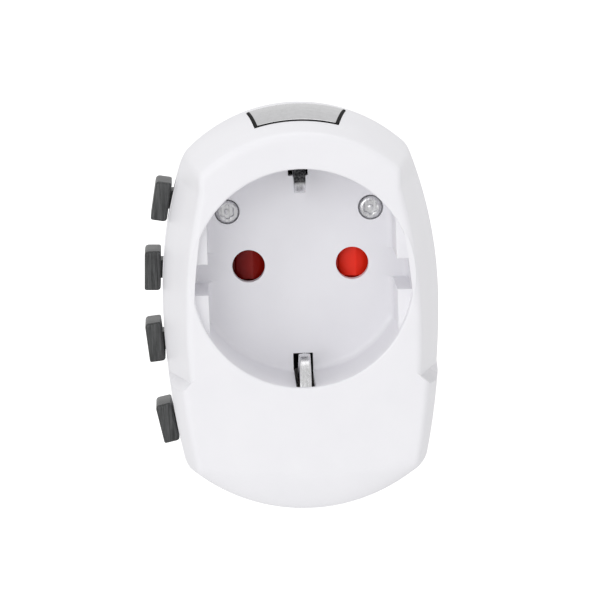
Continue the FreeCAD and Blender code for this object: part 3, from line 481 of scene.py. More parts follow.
def front_cover_cutters():
    """Pin entries, screw pockets, clip slots and the opening for the release key."""
    behind = CUP_DEPTH + FLOOR_T + 1.0
    cutters = []
    for mount in frame["record"]["mounts"]:
        if mount["name"].startswith("pin_entry"):
            x, z = mount["pos_m"][0] / MM, mount["pos_m"][2] / MM
            radius = mount["dims"]["r_mm"]
            cutters.append(hole_cutter((x, z), radius, CUP_DEPTH, CUP_DEPTH - 1.0, behind, 0.06))
    low, high = node_box("front_screws")
    head_r = (high[2] - low[2]) / 2
    pocket_r = head_r + 0.2
    for x in (high[0] - head_r, low[0] + head_r):
        stepped = [
            (0, CUP_DEPTH - 5.0), (pocket_r, CUP_DEPTH - 5.0), (pocket_r, SCREW_SEAT),
            (1.6, SCREW_SEAT), (1.6, behind), (0, behind),
        ]
        cutters.append(revolved(stepped, (x, (low[2] + high[2]) / 2)))
    half = CLIP_SLOT_HALF
    wide = half + 0.07
    for up in (1.0, -1.0):
        slot_z = sorted((up * (CUP_R - 4.0), up * (CUP_R + 2.9)))
        hole_z = sorted((up * (CUP_R - 3.4), up * (CUP_R + 2.85)))
        cutters.append(box_cutter(-half, half, CLIP_SLOT_START, CUP_DEPTH - 0.1, *slot_z, 0.12))
        cutters.append(box_cutter(-wide, wide, CUP_DEPTH - 0.6, behind, *hole_z, 0.12))
    cutters.append(key_prism(KEY_GAP, CUP_R + CUP_WALL + 0.95, 34.0))
    return cutters


def key_prism(grow, z0, z1):
    """Tapered outline of the release key seen from above, carried up from z0 to z1."""
    corners = np.array([
        (KEY_FRONT_X[0] - grow, KEY_FRONT - grow), (KEY_FRONT_X[1] + grow, KEY_FRONT - grow),
        (KEY_REAR_X[1] + grow, KEY_REAR + grow), (KEY_REAR_X[0] - grow, KEY_REAR + grow),
    ])
    bottom = np.column_stack([corners, np.full(4, z0)])
    top = np.column_stack([corners, np.full(4, z1)])
    sides = [[0, 1, 5, 4], [1, 2, 6, 5], [2, 3, 7, 6], [3, 0, 4, 7]]
    return np.concatenate([bottom, top]), sides + [[3, 2, 1, 0], [4, 5, 6, 7]]


def main_housing(material):
    """Rear shell: rings along the depth on the outside and back along the inside, with the
    rabbet that takes the front cover's lip, and a slot in the left flank for each knob."""
    angle = np.linspace(0.0, 2 * np.pi, 400, endpoint=False)
    rows = []
    for depth in np.linspace(SEAM_DEPTH + 0.2, PLATE_DEPTH - 0.35, 30):
        rows.append((body_radius(angle, depth), depth))
    rear = body_radius(angle, PLATE_DEPTH)
    rows += rounded_corner(rows[-1], (rear, PLATE_DEPTH), (rear - 0.3, PLATE_DEPTH), 4)
    for depth in np.linspace(PLATE_DEPTH, SEAM_DEPTH + LIP_LENGTH + 0.15, 12):
        rows.append((body_radius(angle, depth) - WALL, depth))
    for depth in (SEAM_DEPTH + LIP_LENGTH + 0.1, SEAM_DEPTH + 0.1):
        rows.append((body_radius(angle, depth) - RABBET_INSET, depth))
    rows.append((body_radius(angle, SEAM_DEPTH) - 0.2, SEAM_DEPTH + 0.05))
    skin = mesh_from_grid(ring_rows(rows, angle), close_v=True)
    piece = make_piece("rear_shell", [skin], material, "housing", ["main_housing"], 30.0)
    cutters = []
    half = STEM_HEIGHT / 2 + SLOT_GAP
    for name, (stem_z, _) in KNOB_SETS.items():
        low, high = node_box(name + "_knob")
        middle = (low[1] + high[1]) / 2
        start = middle - STEM_LENGTH / 2 - SLOT_GAP
        end = middle + STEM_LENGTH / 2 + SLOT_GAP + TRAVEL
        cutters.append(box_cutter(-30.0, -17.0, start, end, stem_z - half, stem_z + half, 0.8))
    cut_away(piece, cutters, 30.0)
    housing_bosses(material)


def housing_bosses(material):
    """Screw bosses with their ribs, the two ribs under the fuse shelf, and the rear post."""
    low, high = node_box("front_screws")
    screw_z = (low[2] + high[2]) / 2
    edge = 0.2
    parts = []
    for x in (BOSS_X, -BOSS_X):
        tube = boss_profile(BOSS_R, BOSS_BORE, BOSS_START, BOSS_END, 0.9)
        parts.append(revolved(tube, (x, screw_z), 40))
        rib_low = (x - 0.8, RIB_START, screw_z + BOSS_R - 0.3)
        parts.append(rounded_block(rib_low, (x + 0.8, BOSS_END - 0.1, screw_z + 12.4), edge))
    for x in (7.0, -7.0):
        parts.append(rounded_block((x - 0.8, RIB_START, -42.6), (x + 0.8, BOSS_END - 1.1, -34.5), edge))
    post = boss_profile(POST_R, 1.27, PLATE_DEPTH - 0.1, POST_START, 1.4)
    parts.append(revolved(post, (0.0, POST_Z), 40))
    rib_low = (-1.2, POST_START + 0.1, -41.6)
    parts.append(rounded_block(rib_low, (1.2, PLATE_DEPTH - 0.2, POST_Z - POST_R + 0.4), edge))
    make_piece("housing_bosses", parts, material, "housing", [], 30.0)


def boss_profile(outer, bore, mouth, end, floor):
    """Section of a blind boss as (radius, depth) pairs: down the outside, in, and up the bore."""
    inward = 1.0 if end > mouth else -1.0
    edge = 0.2
    return [
        (bore, mouth), (outer - edge, mouth), (outer, mouth + inward * edge),
        (outer, end - inward * edge), (outer - edge, end), (0.0, end),
        (0.0, end - inward * floor), (bore, end - inward * floor), (bore, mouth),
    ]


PIN_NODES = {
    "type_j": ("live_pin", "neutral_pin", "earth_pin"),
    "type_g": ("live_pin", "neutral_pin", "earth_pin"),
    "type_ab": ("live_turret", "neutral_turret", "earth_pin"),
    "type_l": ("live_pin", "neutral_pin", "earth_pin"),
}
# height of each knob's stem and the tilt of its plate
KNOB_SETS = {
    "type_j": (11.5, 10.0),
    "type_g": (-1.4, 2.0),
    "type_ab": (-14.8, -6.0),
    "type_l": (-30.1, -12.0),
}


def rear_cover(material):
    """Wall plate: a disc of rings from pole to pole inside the body outline with a rounded
    outer edge, cut through for every pin."""
    angle = np.linspace(0.0, 2 * np.pi, 400, endpoint=False)
    front = body_radius(angle, PLATE_DEPTH) - 0.02
    back = body_radius(angle, BODY_DEPTH)
    edge = 0.7
    inner = PLATE_DEPTH + 0.02
    before = (body_radius(angle, BODY_DEPTH - edge), BODY_DEPTH - edge)
    rows = [(front * share, inner) for share in (0.0, 0.3, 0.6, 0.85)]
    rows += rounded_corner((front - 0.25, inner), (front, inner), (front, inner + 0.28), 4)
    rows += rounded_corner(before, (back, BODY_DEPTH), (back - edge, BODY_DEPTH), 8)
    rows += [(back * share, BODY_DEPTH) for share in (0.9, 0.6, 0.3, 0.0)]
    plate = mesh_from_grid(ring_rows(rows, angle))
    piece = make_piece("wall_plate", [plate], material, "housing", ["rear_cover"], 30.0)
    cutters = []
    for name, pins in PIN_NODES.items():
        for pin in pins:
            cutters.append(aperture_cutter(name + "_" + pin))
    screw_low, screw_high = node_box("rear_screw")
    centre = (0.0, (screw_low[2] + screw_high[2]) / 2)
    outside, seat, inside = BODY_DEPTH + 1.0, BODY_DEPTH - 1.2, PLATE_DEPTH - 1.0
    stepped = [
        (0, outside), (REAR_POCKET_R, outside), (REAR_POCKET_R, seat),
        (1.35, seat), (1.35, inside), (0, inside),
    ]
    cutters.append(revolved(stepped, centre))
    cut_away(piece, cutters, 30.0)


def aperture_cutter(node):
    """Cutter for one pin: round for round pins and turrets, a rounded block for flat ones."""
    low, high = node_box(node)
    width, height = high[0] - low[0], high[2] - low[2]
    centre = ((low[0] + high[0]) / 2, (low[2] + high[2]) / 2)
    outside, inside = BODY_DEPTH + 1.0, PLATE_DEPTH - 1.0
    flare = 0.25
    if "turret" in node:
        return hole_cutter(centre, TURRET_R + PIN_GAP, BODY_DEPTH, outside, inside, flare)
    if abs(width - height) < 0.05:
        return hole_cutter(centre, width / 2 + PIN_GAP, BODY_DEPTH, outside, inside, flare)
    corner_low = (low[0] - PIN_GAP, inside, low[2] - PIN_GAP)
    corner_high = (high[0] + PIN_GAP, outside + 1.0, high[2] + PIN_GAP)
    return rounded_block(corner_low, corner_high, 0.45, 8)


# ---------------------------------------------------------------- release key
def release_key(chrome, dark):
    """Chrome key standing slightly proud of the dome, in a black carrier that shows as a thin
    line round it; the carrier's neck and flange keep the key in its opening."""
    count = 61
    line = np.sin(np.linspace(-np.pi / 2, np.pi / 2, count))
    u, v = np.meshgrid(line, line, indexing="ij")
    proud, line_width, skirt = 0.22, 0.15, 0.17
    plate = two_sheets(
        key_sheet(u, v, -proud, -line_width, 0.35),
        key_sheet(u, v, 0.6, -line_width, 0.0),
    )
    carrier = [
        two_sheets(key_sheet(u, v, -proud + 0.08, skirt, 0.08), key_sheet(u, v, 1.5, skirt, 0.0)),
        two_sheets(key_sheet(u, v, 1.5, -0.8, 0.0), key_sheet(u, v, WALL + 0.5, -0.8, 0.0)),
        two_sheets(
            key_sheet(u, v, WALL + FLANGE_GAP, 1.2, 0.0),
            key_sheet(u, v, WALL + FLANGE_GAP + FLANGE_T, 1.2, 0.0),
        ),
    ]
    make_piece("key_carrier", carrier, dark, "button", [], 50.0)
    make_piece("release_key", [plate], chrome, "button", ["release_button"], 50.0)


def key_sheet(u, v, inset, grow, edge):
    """Points at parameters u (across) and v (front to rear), each -1 to 1, on the dome moved
    inwards by inset and lowered near the outline by a quarter round of the edge radius."""
    front, rear = KEY_FRONT - grow, KEY_REAR + grow
    share = (v + 1) / 2
    depth = front + (rear - front) * share
    left = KEY_FRONT_X[0] + (KEY_REAR_X[0] - KEY_FRONT_X[0]) * share - grow
    right = KEY_FRONT_X[1] + (KEY_REAR_X[1] - KEY_FRONT_X[1]) * share + grow
    x = left + (right - left) * (u + 1) / 2
    to_edge = np.minimum(np.minimum(x - left, right - x), np.minimum(depth - front, rear - depth))
    fall = edge - np.sqrt(np.maximum(edge ** 2 - np.maximum(edge - to_edge, 0.0) ** 2, 0.0))
    radius = dome_curve(depth) - inset - fall
    z = np.sqrt(radius ** 2 - x ** 2)
    return np.stack([x, depth, z], axis=-1)


def two_sheets(top, under):
    """Closed skin from two sheets over the same outline, joined round their border."""
    rows, columns = top.shape[:2]
    a = mesh_from_grid(top, close_u=False)
    b = mesh_from_grid(under, close_u=False)
    border = [(0, j) for j in range(columns)] + [(i, columns - 1) for i in range(1, rows)]
    border += [(rows - 1, j) for j in range(columns - 2, -1, -1)]
    border += [(i, 0) for i in range(rows - 2, 0, -1)]
    i, j = np.array(border).T
    wall = np.stack([top[i, j], under[i, j]])
    return joined([a, b, mesh_from_grid(wall)])


# ---------------------------------------------------------------- thumb knobs
def thumb_knob(name, material):
    """Knob plate tilted to lie along the flank, its stem and its tenon."""
    low, high = node_box(name + "_knob")
    stem_z, tilt = KNOB_SETS[name]
    depth = (low[1] + high[1]) / 2
    turn = math.radians(abs(tilt))
    reach = KNOB_THICK / 2 * math.cos(turn) + KNOB_HEIGHT / 2 * math.sin(turn)
    centre_x = low[0] + reach - KNOB_FILLET * (math.cos(turn) + math.sin(turn) - 1)
    plate = turned(knob_plate(centre_x, depth, stem_z), (centre_x, stem_z), tilt)
    arm_x = high[0] - TENON_DEPTH
    stem = rounded_block(
        (centre_x, depth - STEM_LENGTH / 2, stem_z - STEM_HEIGHT / 2),
        (arm_x, depth + STEM_LENGTH / 2, stem_z + STEM_HEIGHT / 2), 0.25,
    )
    tenon = rounded_block(
        (arm_x - 0.5, depth - TENON_LENGTH / 2, stem_z - TENON_HEIGHT / 2),
        (high[0], depth + TENON_LENGTH / 2, stem_z + TENON_HEIGHT / 2), 0.1,
    )
    body = "plug_" + name.split("_")[1]
    node = name + "_knob"
    make_piece(name + "_thumb_knob", [plate, stem, tenon], material, body, [node], 40.0)


def knob_plate(x, depth, z):
    """Plate as closed rings in the X-Z plane carried along the depth: each ring is a rounded
    four-sided outline, and the end rings shrink in a quarter round."""
    outline = plate_outline(KNOB_THICK / 2, KNOB_HEIGHT / 2)
    edge = 0.5
    t = np.linspace(0.0, np.pi / 2, 7)
    front = -KNOB_LENGTH / 2 + edge * (1 - np.cos(t))
    rear = KNOB_LENGTH / 2 - edge * (1 - np.cos(t[::-1]))
    along = np.concatenate([front, rear])
    held = np.concatenate([edge * (1 - np.sin(t)), edge * (1 - np.sin(t[::-1]))])
    scale = 1 - held[:, None] / np.array([KNOB_THICK / 2, KNOB_HEIGHT / 2])
    ring_x = x + outline[None, :, 0] * scale[:, 0:1]
    ring_z = z + outline[None, :, 1] * scale[:, 1:2]
    ring_d = np.broadcast_to(depth + along[:, None], ring_x.shape)
    rings = np.stack([ring_x, ring_d, ring_z], axis=-1)
    return mesh_from_grid(capped(rings))


def plate_outline(half_t, half_h):
    """Rounded four-sided outline with a wider round on two opposite corners, as (n, 2)."""
    corners = [
        (-half_t, half_h, 0.85), (half_t, half_h, 0.4),
        (half_t, -half_h, 0.75), (-half_t, -half_h, 0.4),
    ]
    points = []
    for i, (x, z, r) in enumerate(corners):
        before, after = corners[i - 1], corners[(i + 1) % 4]
        to_before = np.array(before[:2]) - (x, z)
        to_after = np.array(after[:2]) - (x, z)
        start = np.array([x, z]) + r * to_before / np.linalg.norm(to_before)
        end = np.array([x, z]) + r * to_after / np.linalg.norm(to_after)
        points.append(quarter(start, (x, z), end, 8))
    return np.concatenate(points)


# ---------------------------------------------------------------- small metal parts
def earth_clip(name, up, material):
    """Sprung strip: a rounded section carried along a smooth path through the slot, pressed
    out in a small round dimple at its belly."""
    outer = CUP_R + 1.3
    path = np.array([
        (20.2, outer + 1.0), (17.6, outer - 0.4), (13.0, CUP_R - 2.0), (8.2, CUP_R - 4.4),
        (6.0, CUP_R - 4.8), (4.0, CUP_R - 3.4), (2.6, CUP_R - 1.3), (1.9, CUP_R + 0.5),
    ])
    knots = np.concatenate([[0.0], np.cumsum(np.hypot(*np.diff(path, axis=0).T))])
    depth_of, height_of = natural_curve(knots, path[:, 0]), natural_curve(knots, path[:, 1])
    s = np.linspace(0.0, knots[-1], 90)
    depth, height = depth_of(s), height_of(s)
    along = np.gradient(np.stack([depth, height]), axis=1)
    along /= np.linalg.norm(along, axis=0)
    normal = np.stack([-along[1], along[0]])
    t = np.linspace(0.0, 2 * np.pi, 36, endpoint=False)
    wide = 1.05 * np.sign(np.sin(t)) * np.abs(np.sin(t)) ** 0.35
    thick = 0.3 * np.sign(np.cos(t)) * np.abs(np.cos(t)) ** 0.6
    belly = knots[4] - 1.9
    dimple = 0.32 * np.exp(-((s[:, None] - belly) ** 2 + wide[None, :] ** 2) / 0.30 ** 2)
    lift = thick[None, :] + dimple
    x = np.broadcast_to(wide[None, :], lift.shape)
    y = depth[:, None] + normal[0][:, None] * lift
    z = height[:, None] + normal[1][:, None] * lift
    strip = mesh_from_grid(capped(np.stack([x, y, up * z], axis=-1)))
    make_piece(name + "_strip", [strip], material, "housing", [name], 60.0)


def floor_screws(material):
    """Two pan screws with a domed rim, a six-lobed recess and a centre post."""
    low, high = node_box("front_screws")
    head_r = (high[2] - low[2]) / 2
    centre_z = (low[2] + high[2]) / 2
    parts = []
    for x in (low[0] + head_r, high[0] - head_r):
        parts.append(screw_surface((x, centre_z), low[1], high[1], head_r, 1.4, 1.0))
    node = "front_screws"
    make_piece("floor_screw_pair", parts, material, "housing", [node], 35.0)


def wall_plate_screw(material):
    """The screw that holds the wall plate, same head, facing the wall."""
    low, high = node_box("rear_screw")
    head_r = (high[0] - low[0]) / 2
    centre = (0.0, (low[2] + high[2]) / 2)
    part = screw_surface(centre, high[1], low[1], head_r, 1.2, -1.0)
    make_piece("wall_plate_screw", [part], material, "housing", ["rear_screw"], 35.0)


def screw_surface(centre, face, tip, head_r, shank_r, inward):
    """Rings from the middle of the head out and back down the shank. The recess is drawn for a
    head of RECESS_HEAD_R and scaled to head_r; at its wall the radius swells six times round,
    and down the shank the radius ripples with the thread."""
    head_t = 1.4 if inward > 0 else 1.0
    deep = 0.55
    recess = np.array([
        (0.0, 0.16), (0.42, 0.16), (0.56, 0.24), (0.58, deep), (0.62, deep),
        (1.32, deep), (1.36, deep - 0.04), (1.42, 0.10), (1.52, 0.0), (1.62, 0.0), (1.95, 0.05),
    ])
    recess[:, 0] *= head_r / RECESS_HEAD_R
    rim = np.array([
        (head_r - 0.12, 0.2), (head_r, 0.42), (head_r, head_t - 0.1), (head_r - 0.1, head_t),
        (shank_r, head_t),
    ])
    radius, drop = np.concatenate([recess, rim]).T
    thread = np.arange(head_t + 0.5, abs(tip - face) - 0.8, 0.12)
    ridge = shank_r - 0.18 * (1 + np.cos(2 * np.pi * thread / 0.8)) / 2
    radius = np.concatenate([radius, ridge, [shank_r * 0.6, 0.0]])
    drop = np.concatenate([drop, thread, [abs(tip - face) - 0.1, abs(tip - face)]])
    t = np.linspace(0.0, 2 * np.pi, 72, endpoint=False)
    lobes = np.exp(-((radius - 0.6 * head_r) / 0.12) ** 2)[:, None] * 0.13 * (np.cos(6 * t) - 1)[None, :]
    ring = radius[:, None] + lobes
    depth = face + inward * drop
    x = centre[0] + ring * np.sin(t)
    z = centre[1] + ring * np.cos(t)
    points = np.stack([x, np.broadcast_to(depth[:, None], ring.shape), z], axis=-1)
    return mesh_from_grid(points)


# ---------------------------------------------------------------- shutter
def safety_gate(material):
    """Sliding gate: a plate and, before each pin entry, a ramp whose ridge runs up and down;
    two round windows are cut beside the ramps, and a lug below takes the spring."""
    low, high = node_box("shutter")
    front, back = low[1] + 1.0, high[1]
    half_z = 4.6
    centres = (PIN_HALF_PITCH, -PIN_HALF_PITCH)
    columns = [np.linspace(low[0], high[0], 80)]
    columns += [np.linspace(centre - 3.4, centre + 3.6, 50) for centre in centres]
    x = np.unique(np.concatenate(columns))
    z = np.sin(np.linspace(-np.pi / 2, np.pi / 2, 31)) * half_z
    grid_x, grid_z = np.meshgrid(x, z, indexing="ij")
    lift = np.zeros_like(grid_x)
    for centre in centres:
        rise = np.interp(grid_x - centre, [-2.45, -2.35, 0.5, 0.8, 3.2], [0.0, 0.25, 1.0, 1.0, 0.0])
        fade = np.clip((3.1 - np.abs(grid_z)) / 0.25, 0.0, 1.0)
        lift = np.maximum(lift, rise * fade)
    top = np.stack([grid_x, front - lift, grid_z], axis=-1)
    under = np.stack([grid_x, np.full_like(grid_x, back), grid_z], axis=-1)
    plate = two_sheets(top, under)
    piece = make_piece("safety_gate", [plate], material, "shutter", ["shutter"], 25.0)
    window_r, closed_by = 2.7, 6.2
    section = [(0, front - 2), (window_r, front - 2), (window_r, back + 1), (0, back + 1)]
    cut_away(piece, [revolved(section, (centre - closed_by, 0.0)) for centre in centres], 25.0)
    lug = rounded_block((0.2, low[1], low[2]), (1.6, back, -4.4), 0.15)
    make_piece("gate_lug", [lug], material, "shutter", [], 35.0)


# ---------------------------------------------------------------- materials
def new_group(name, outputs, inputs):
    """Empty node group with named float or colour sockets."""
    group = bpy.data.node_groups.new(name, "ShaderNodeTree")
    for label, kind, value in inputs:
        socket = group.interface.new_socket(name=label, in_out="INPUT", socket_type=kind)
        socket.default_value = value
    for label, kind in outputs:
        group.interface.new_socket(name=label, in_out="OUTPUT", socket_type=kind)
    start = group.nodes.new("NodeGroupInput")
    end = group.nodes.new("NodeGroupOutput")
    return group, start, end


def add_math(tree, kind, a, b=None, clamp=False):
    """One math node; a and b are sockets or numbers."""
    node = tree.nodes.new("ShaderNodeMath")
    node.operation = kind
    node.use_clamp = clamp
    for slot, value in zip(node.inputs, (a, b)):
        if value is None:
            continue
        if hasattr(value, "is_linked"):
            tree.links.new(value, slot)
        else:
            slot.default_value = value
    return node.outputs[0]


def moulded_grain_group():
    """Fine moulded texture: two sizes of noise on object coordinates, as a height and a mask."""
    tree, start, end = new_group(
        "moulded_grain",
        [("Height", "NodeSocketFloat"), ("Mottle", "NodeSocketFloat")],
        [
            ("Fine", "NodeSocketFloat", 6000.0),
            ("Broad", "NodeSocketFloat", 120.0),
            ("Mix", "NodeSocketFloat", 0.4),
        ],
    )
    coords = tree.nodes.new("ShaderNodeTexCoord")
    fine = tree.nodes.new("ShaderNodeTexNoise")
    fine.inputs["Detail"].default_value = 3.0
    broad = tree.nodes.new("ShaderNodeTexNoise")
    broad.inputs["Detail"].default_value = 4.0
    for node, scale in ((fine, "Fine"), (broad, "Broad")):
        tree.links.new(coords.outputs["Object"], node.inputs["Vector"])
        tree.links.new(start.outputs[scale], node.inputs["Scale"])
    rest = add_math(tree, "SUBTRACT", 1.0, start.outputs["Mix"])
    part_a = add_math(tree, "MULTIPLY", fine.outputs["Fac"], start.outputs["Mix"])
    part_b = add_math(tree, "MULTIPLY", broad.outputs["Fac"], rest)
    total = add_math(tree, "ADD", part_a, part_b)
    tree.links.new(total, end.inputs["Height"])
    tree.links.new(broad.outputs["Fac"], end.inputs["Mottle"])
    return tree


def handling_group():
    """Handling marks: thin wandering scratches and soft smudges, as two masks."""
    tree, start, end = new_group(
        "handling_marks",
        [("Scratches", "NodeSocketFloat"), ("Smudges", "NodeSocketFloat")],
        [("Scratch scale", "NodeSocketFloat", 300.0), ("Smudge scale", "NodeSocketFloat", 60.0)],
    )
    coords = tree.nodes.new("ShaderNodeTexCoord")
    stretch = tree.nodes.new("ShaderNodeMapping")
    stretch.inputs["Rotation"].default_value = (0.5, 0.9, 0.3)
    stretch.inputs["Scale"].default_value = (1.0, 0.06, 1.0)
    tree.links.new(coords.outputs["Object"], stretch.inputs["Vector"])
    lines = tree.nodes.new("ShaderNodeTexNoise")
    lines.inputs["Detail"].default_value = 6.0
    tree.links.new(stretch.outputs["Vector"], lines.inputs["Vector"])
    tree.links.new(start.outputs["Scratch scale"], lines.inputs["Scale"])
    thin = add_math(tree, "ABSOLUTE", add_math(tree, "SUBTRACT", lines.outputs["Fac"], 0.5))
    mask = add_math(tree, "SUBTRACT", 1.0, add_math(tree, "MULTIPLY", thin, 60.0), clamp=True)
    smudge = tree.nodes.new("ShaderNodeTexNoise")
    smudge.inputs["Detail"].default_value = 5.0
    tree.links.new(coords.outputs["Object"], smudge.inputs["Vector"])
    tree.links.new(start.outputs["Smudge scale"], smudge.inputs["Scale"])
    tree.links.new(mask, end.inputs["Scratches"])
    tree.links.new(smudge.outputs["Fac"], end.inputs["Smudges"])
    return tree


def streak_group():
    """Streaks that run along Z: noise stretched along that axis, as one value."""
    tree, start, end = new_group(
        "drawn_streaks",
        [("Streak", "NodeSocketFloat")],
        [("Scale", "NodeSocketFloat", 1500.0)],
    )
    coords = tree.nodes.new("ShaderNodeTexCoord")
    stretch = tree.nodes.new("ShaderNodeMapping")
    stretch.inputs["Scale"].default_value = (1.0, 1.0, 0.06)
    noise = tree.nodes.new("ShaderNodeTexNoise")
    noise.inputs["Detail"].default_value = 5.0
    noise.inputs["Roughness"].default_value = 0.7
    tree.links.new(coords.outputs["Object"], stretch.inputs["Vector"])
    tree.links.new(stretch.outputs["Vector"], noise.inputs["Vector"])
    tree.links.new(start.outputs["Scale"], noise.inputs["Scale"])
    tree.links.new(noise.outputs["Fac"], end.inputs["Streak"])
    return tree


GRAIN = moulded_grain_group()
MARKS = handling_group()
STREAKS = streak_group()


class Finish:
    """One material under construction: its tree, its shader and shorthand for common steps."""

    def __init__(self, name):
        self.material = bpy.data.materials.new(name)
        self.material.use_nodes = True
        self.tree = self.material.node_tree
        self.shader = self.tree.nodes["Principled BSDF"]

    def constant(self, **values):
        """Fixed values set on the shader's own sockets."""
        for label, value in values.items():
            self.shader.inputs[label.replace("_", " ")].default_value = value

    def group(self, group, **values):
        """Place a shared node group with this material's values."""
        node = self.tree.nodes.new("ShaderNodeGroup")
        node.node_tree = group
        for label, value in values.items():
            node.inputs[label.replace("_", " ")].default_value = value
        return node

    def ramp(self, source, stops):
        """Colour ramp from (position, colour) stops."""
        node = self.tree.nodes.new("ShaderNodeValToRGB")
        ramp = node.color_ramp
        while len(ramp.elements) < len(stops):
            ramp.elements.new(0.5)
        for element, (position, colour) in zip(ramp.elements, stops):
            element.position = position
            element.color = (*colour, 1.0)
        self.tree.links.new(source, node.inputs["Fac"])
        return node.outputs["Color"]

    def spread(self, source, low, high, from_low=0.3, from_high=0.7):
        """Map a value from one range to another."""
        node = self.tree.nodes.new("ShaderNodeMapRange")
        node.inputs["From Min"].default_value = from_low
        node.inputs["From Max"].default_value = from_high
        node.inputs["To Min"].default_value = low
        node.inputs["To Max"].default_value = high
        self.tree.links.new(source, node.inputs["Value"])
        return node.outputs["Result"]

    def feed(self, label, source):
        """Link one output to a socket of the shader."""
        self.tree.links.new(source, self.shader.inputs[label])

    def bump(self, height, strength, distance):
        """Bump from a height, at a strength and a distance in metres."""
        node = self.tree.nodes.new("ShaderNodeBump")
        node.inputs["Strength"].default_value = strength
        node.inputs["Distance"].default_value = distance
        self.tree.links.new(height, node.inputs["Height"])
        self.feed("Normal", node.outputs["Normal"])


def moulded_plastic(name, dark, light, rough, grain_scale=5000.0, bump=0.05, **constants):
    """Moulded plastic: faint mottling of colour, grain in the surface, smudged gloss."""
    finish = Finish(name)
    grain = finish.group(GRAIN, Fine=grain_scale)
    marks = finish.group(MARKS)
    finish.feed("Base Color", finish.ramp(grain.outputs["Mottle"], [(0.3, dark), (0.7, light)]))
    rough_map = finish.spread(marks.outputs["Smudges"], rough[0], rough[1])
    finish.feed("Roughness", rough_map)
    finish.bump(grain.outputs["Height"], bump, 0.00005)
    finish.constant(**constants)
    return finish


def plated_metal(name, dark, light, rough, streak=1800.0, bump=0.03):
    """Plated or drawn metal: streaks in colour and gloss, light handling scratches."""
    finish = Finish(name)
    streaks = finish.group(STREAKS, Scale=streak)
    marks = finish.group(MARKS, Scratch_scale=500.0)
    finish.feed("Base Color", finish.ramp(streaks.outputs["Streak"], [(0.3, dark), (0.7, light)]))
    base = finish.spread(streaks.outputs["Streak"], rough[0], rough[1])
    scratch = add_math(finish.tree, "MULTIPLY", marks.outputs["Scratches"], 0.12)
    finish.feed("Roughness", add_math(finish.tree, "ADD", base, scratch))
    finish.bump(streaks.outputs["Streak"], bump, 0.00003)
    finish.constant(Metallic=1.0)
    return finish


def streaked_plastic(name, dark, light, rough):
    """Dark plastic with fine drawn streaks across its faces."""
    finish = Finish(name)
    streaks = finish.group(STREAKS, Scale=3500.0)
    grain = finish.group(GRAIN, Fine=7000.0, Mix=0.7)
    finish.feed("Base Color", finish.ramp(streaks.outputs["Streak"], [(0.32, dark), (0.68, light)]))
    finish.feed("Roughness", finish.spread(grain.outputs["Mottle"], rough[0], rough[1]))
    height = add_math(finish.tree, "ADD", streaks.outputs["Streak"], grain.outputs["Height"])
    finish.bump(height, 0.35, 0.00005)
    return finish


def strip_steel(name, dark, light, painted_slot_shade):
    """Bright strip steel with painted shade: it is darkened where the upper strip enters its slot,
    standing in for the dark slot's reflection and shadow on it.
    """
    finish = plated_metal(name, dark, light, (0.14, 0.26), 2600.0)
    coords = finish.tree.nodes.new("ShaderNodeTexCoord")
    parted = finish.tree.nodes.new("ShaderNodeSeparateXYZ")
    finish.tree.links.new(coords.outputs["Object"], parted.inputs["Vector"])
    grain = finish.group(GRAIN, Fine=3000.0)
    # painted shade: above a height of 16.3 to 17.2 mm the colour goes to the painted dark colour, where
    # the upper strip enters its slot
    edge = finish.spread(parted.outputs["Z"], -0.15, 1.0, 0.0163, 0.0172)
    wander = finish.spread(grain.outputs["Height"], -0.2, 0.2)
    share = add_math(finish.tree, "ADD", edge, wander, clamp=True)
    # colour sockets of the mix node: 0 is its share, 6 and 7 its two colours, output 2 the result
    mix = finish.tree.nodes.new("ShaderNodeMix")
    mix.data_type = "RGBA"
    finish.tree.links.new(share, mix.inputs[0])
    finish.tree.links.new(finish.shader.inputs["Base Color"].links[0].from_socket, mix.inputs[6])
    mix.inputs[7].default_value = (*painted_slot_shade, 1.0)
    finish.feed("Base Color", mix.outputs[2])
    return finish


def gate_plastic(name, thin, thick):
    """Glossy red plastic with painted shade and light: darker towards its left end and brighter to the
    right, standing in for the shade in the left pin entry and the light in the right one.
    """
    finish = Finish(name)
    coords = finish.tree.nodes.new("ShaderNodeTexCoord")
    parted = finish.tree.nodes.new("ShaderNodeSeparateXYZ")
    finish.tree.links.new(coords.outputs["Object"], parted.inputs["Vector"])
    grain = finish.group(GRAIN, Fine=5000.0)
    # painted shade and light: thin is the painted shaded red at the left, thick the painted lit red at
    # the right, spread across x from -11 to 9 mm
    across = finish.spread(parted.outputs["X"], 0.0, 1.0, -0.011, 0.009)
    mottle = finish.spread(grain.outputs["Mottle"], -0.06, 0.06)
    share = add_math(finish.tree, "ADD", across, mottle)
    finish.feed("Base Color", finish.ramp(share, [(0.0, thin), (1.0, thick)]))
    finish.feed("Roughness", finish.spread(grain.outputs["Mottle"], 0.12, 0.22))
    finish.bump(grain.outputs["Height"], 0.04, 0.00005)
    finish.constant(Specular_IOR_Level=0.25)
    return finish.material


white_shell = moulded_plastic(
    "white_shell_plastic", (0.890, 0.885, 0.918), (0.910, 0.905, 0.935),
    (0.32, 0.44), bump=0.04,
).material
chrome_key = plated_metal(
    "chrome_key_plate", (0.58, 0.58, 0.59), (0.68, 0.68, 0.695),
    (0.085, 0.115), 900.0, 0.004,
).material
screw_steel = plated_metal(
    "screw_zinc", (0.46, 0.46, 0.47), (0.80, 0.80, 0.81),
    (0.22, 0.36), 2500.0,
).material
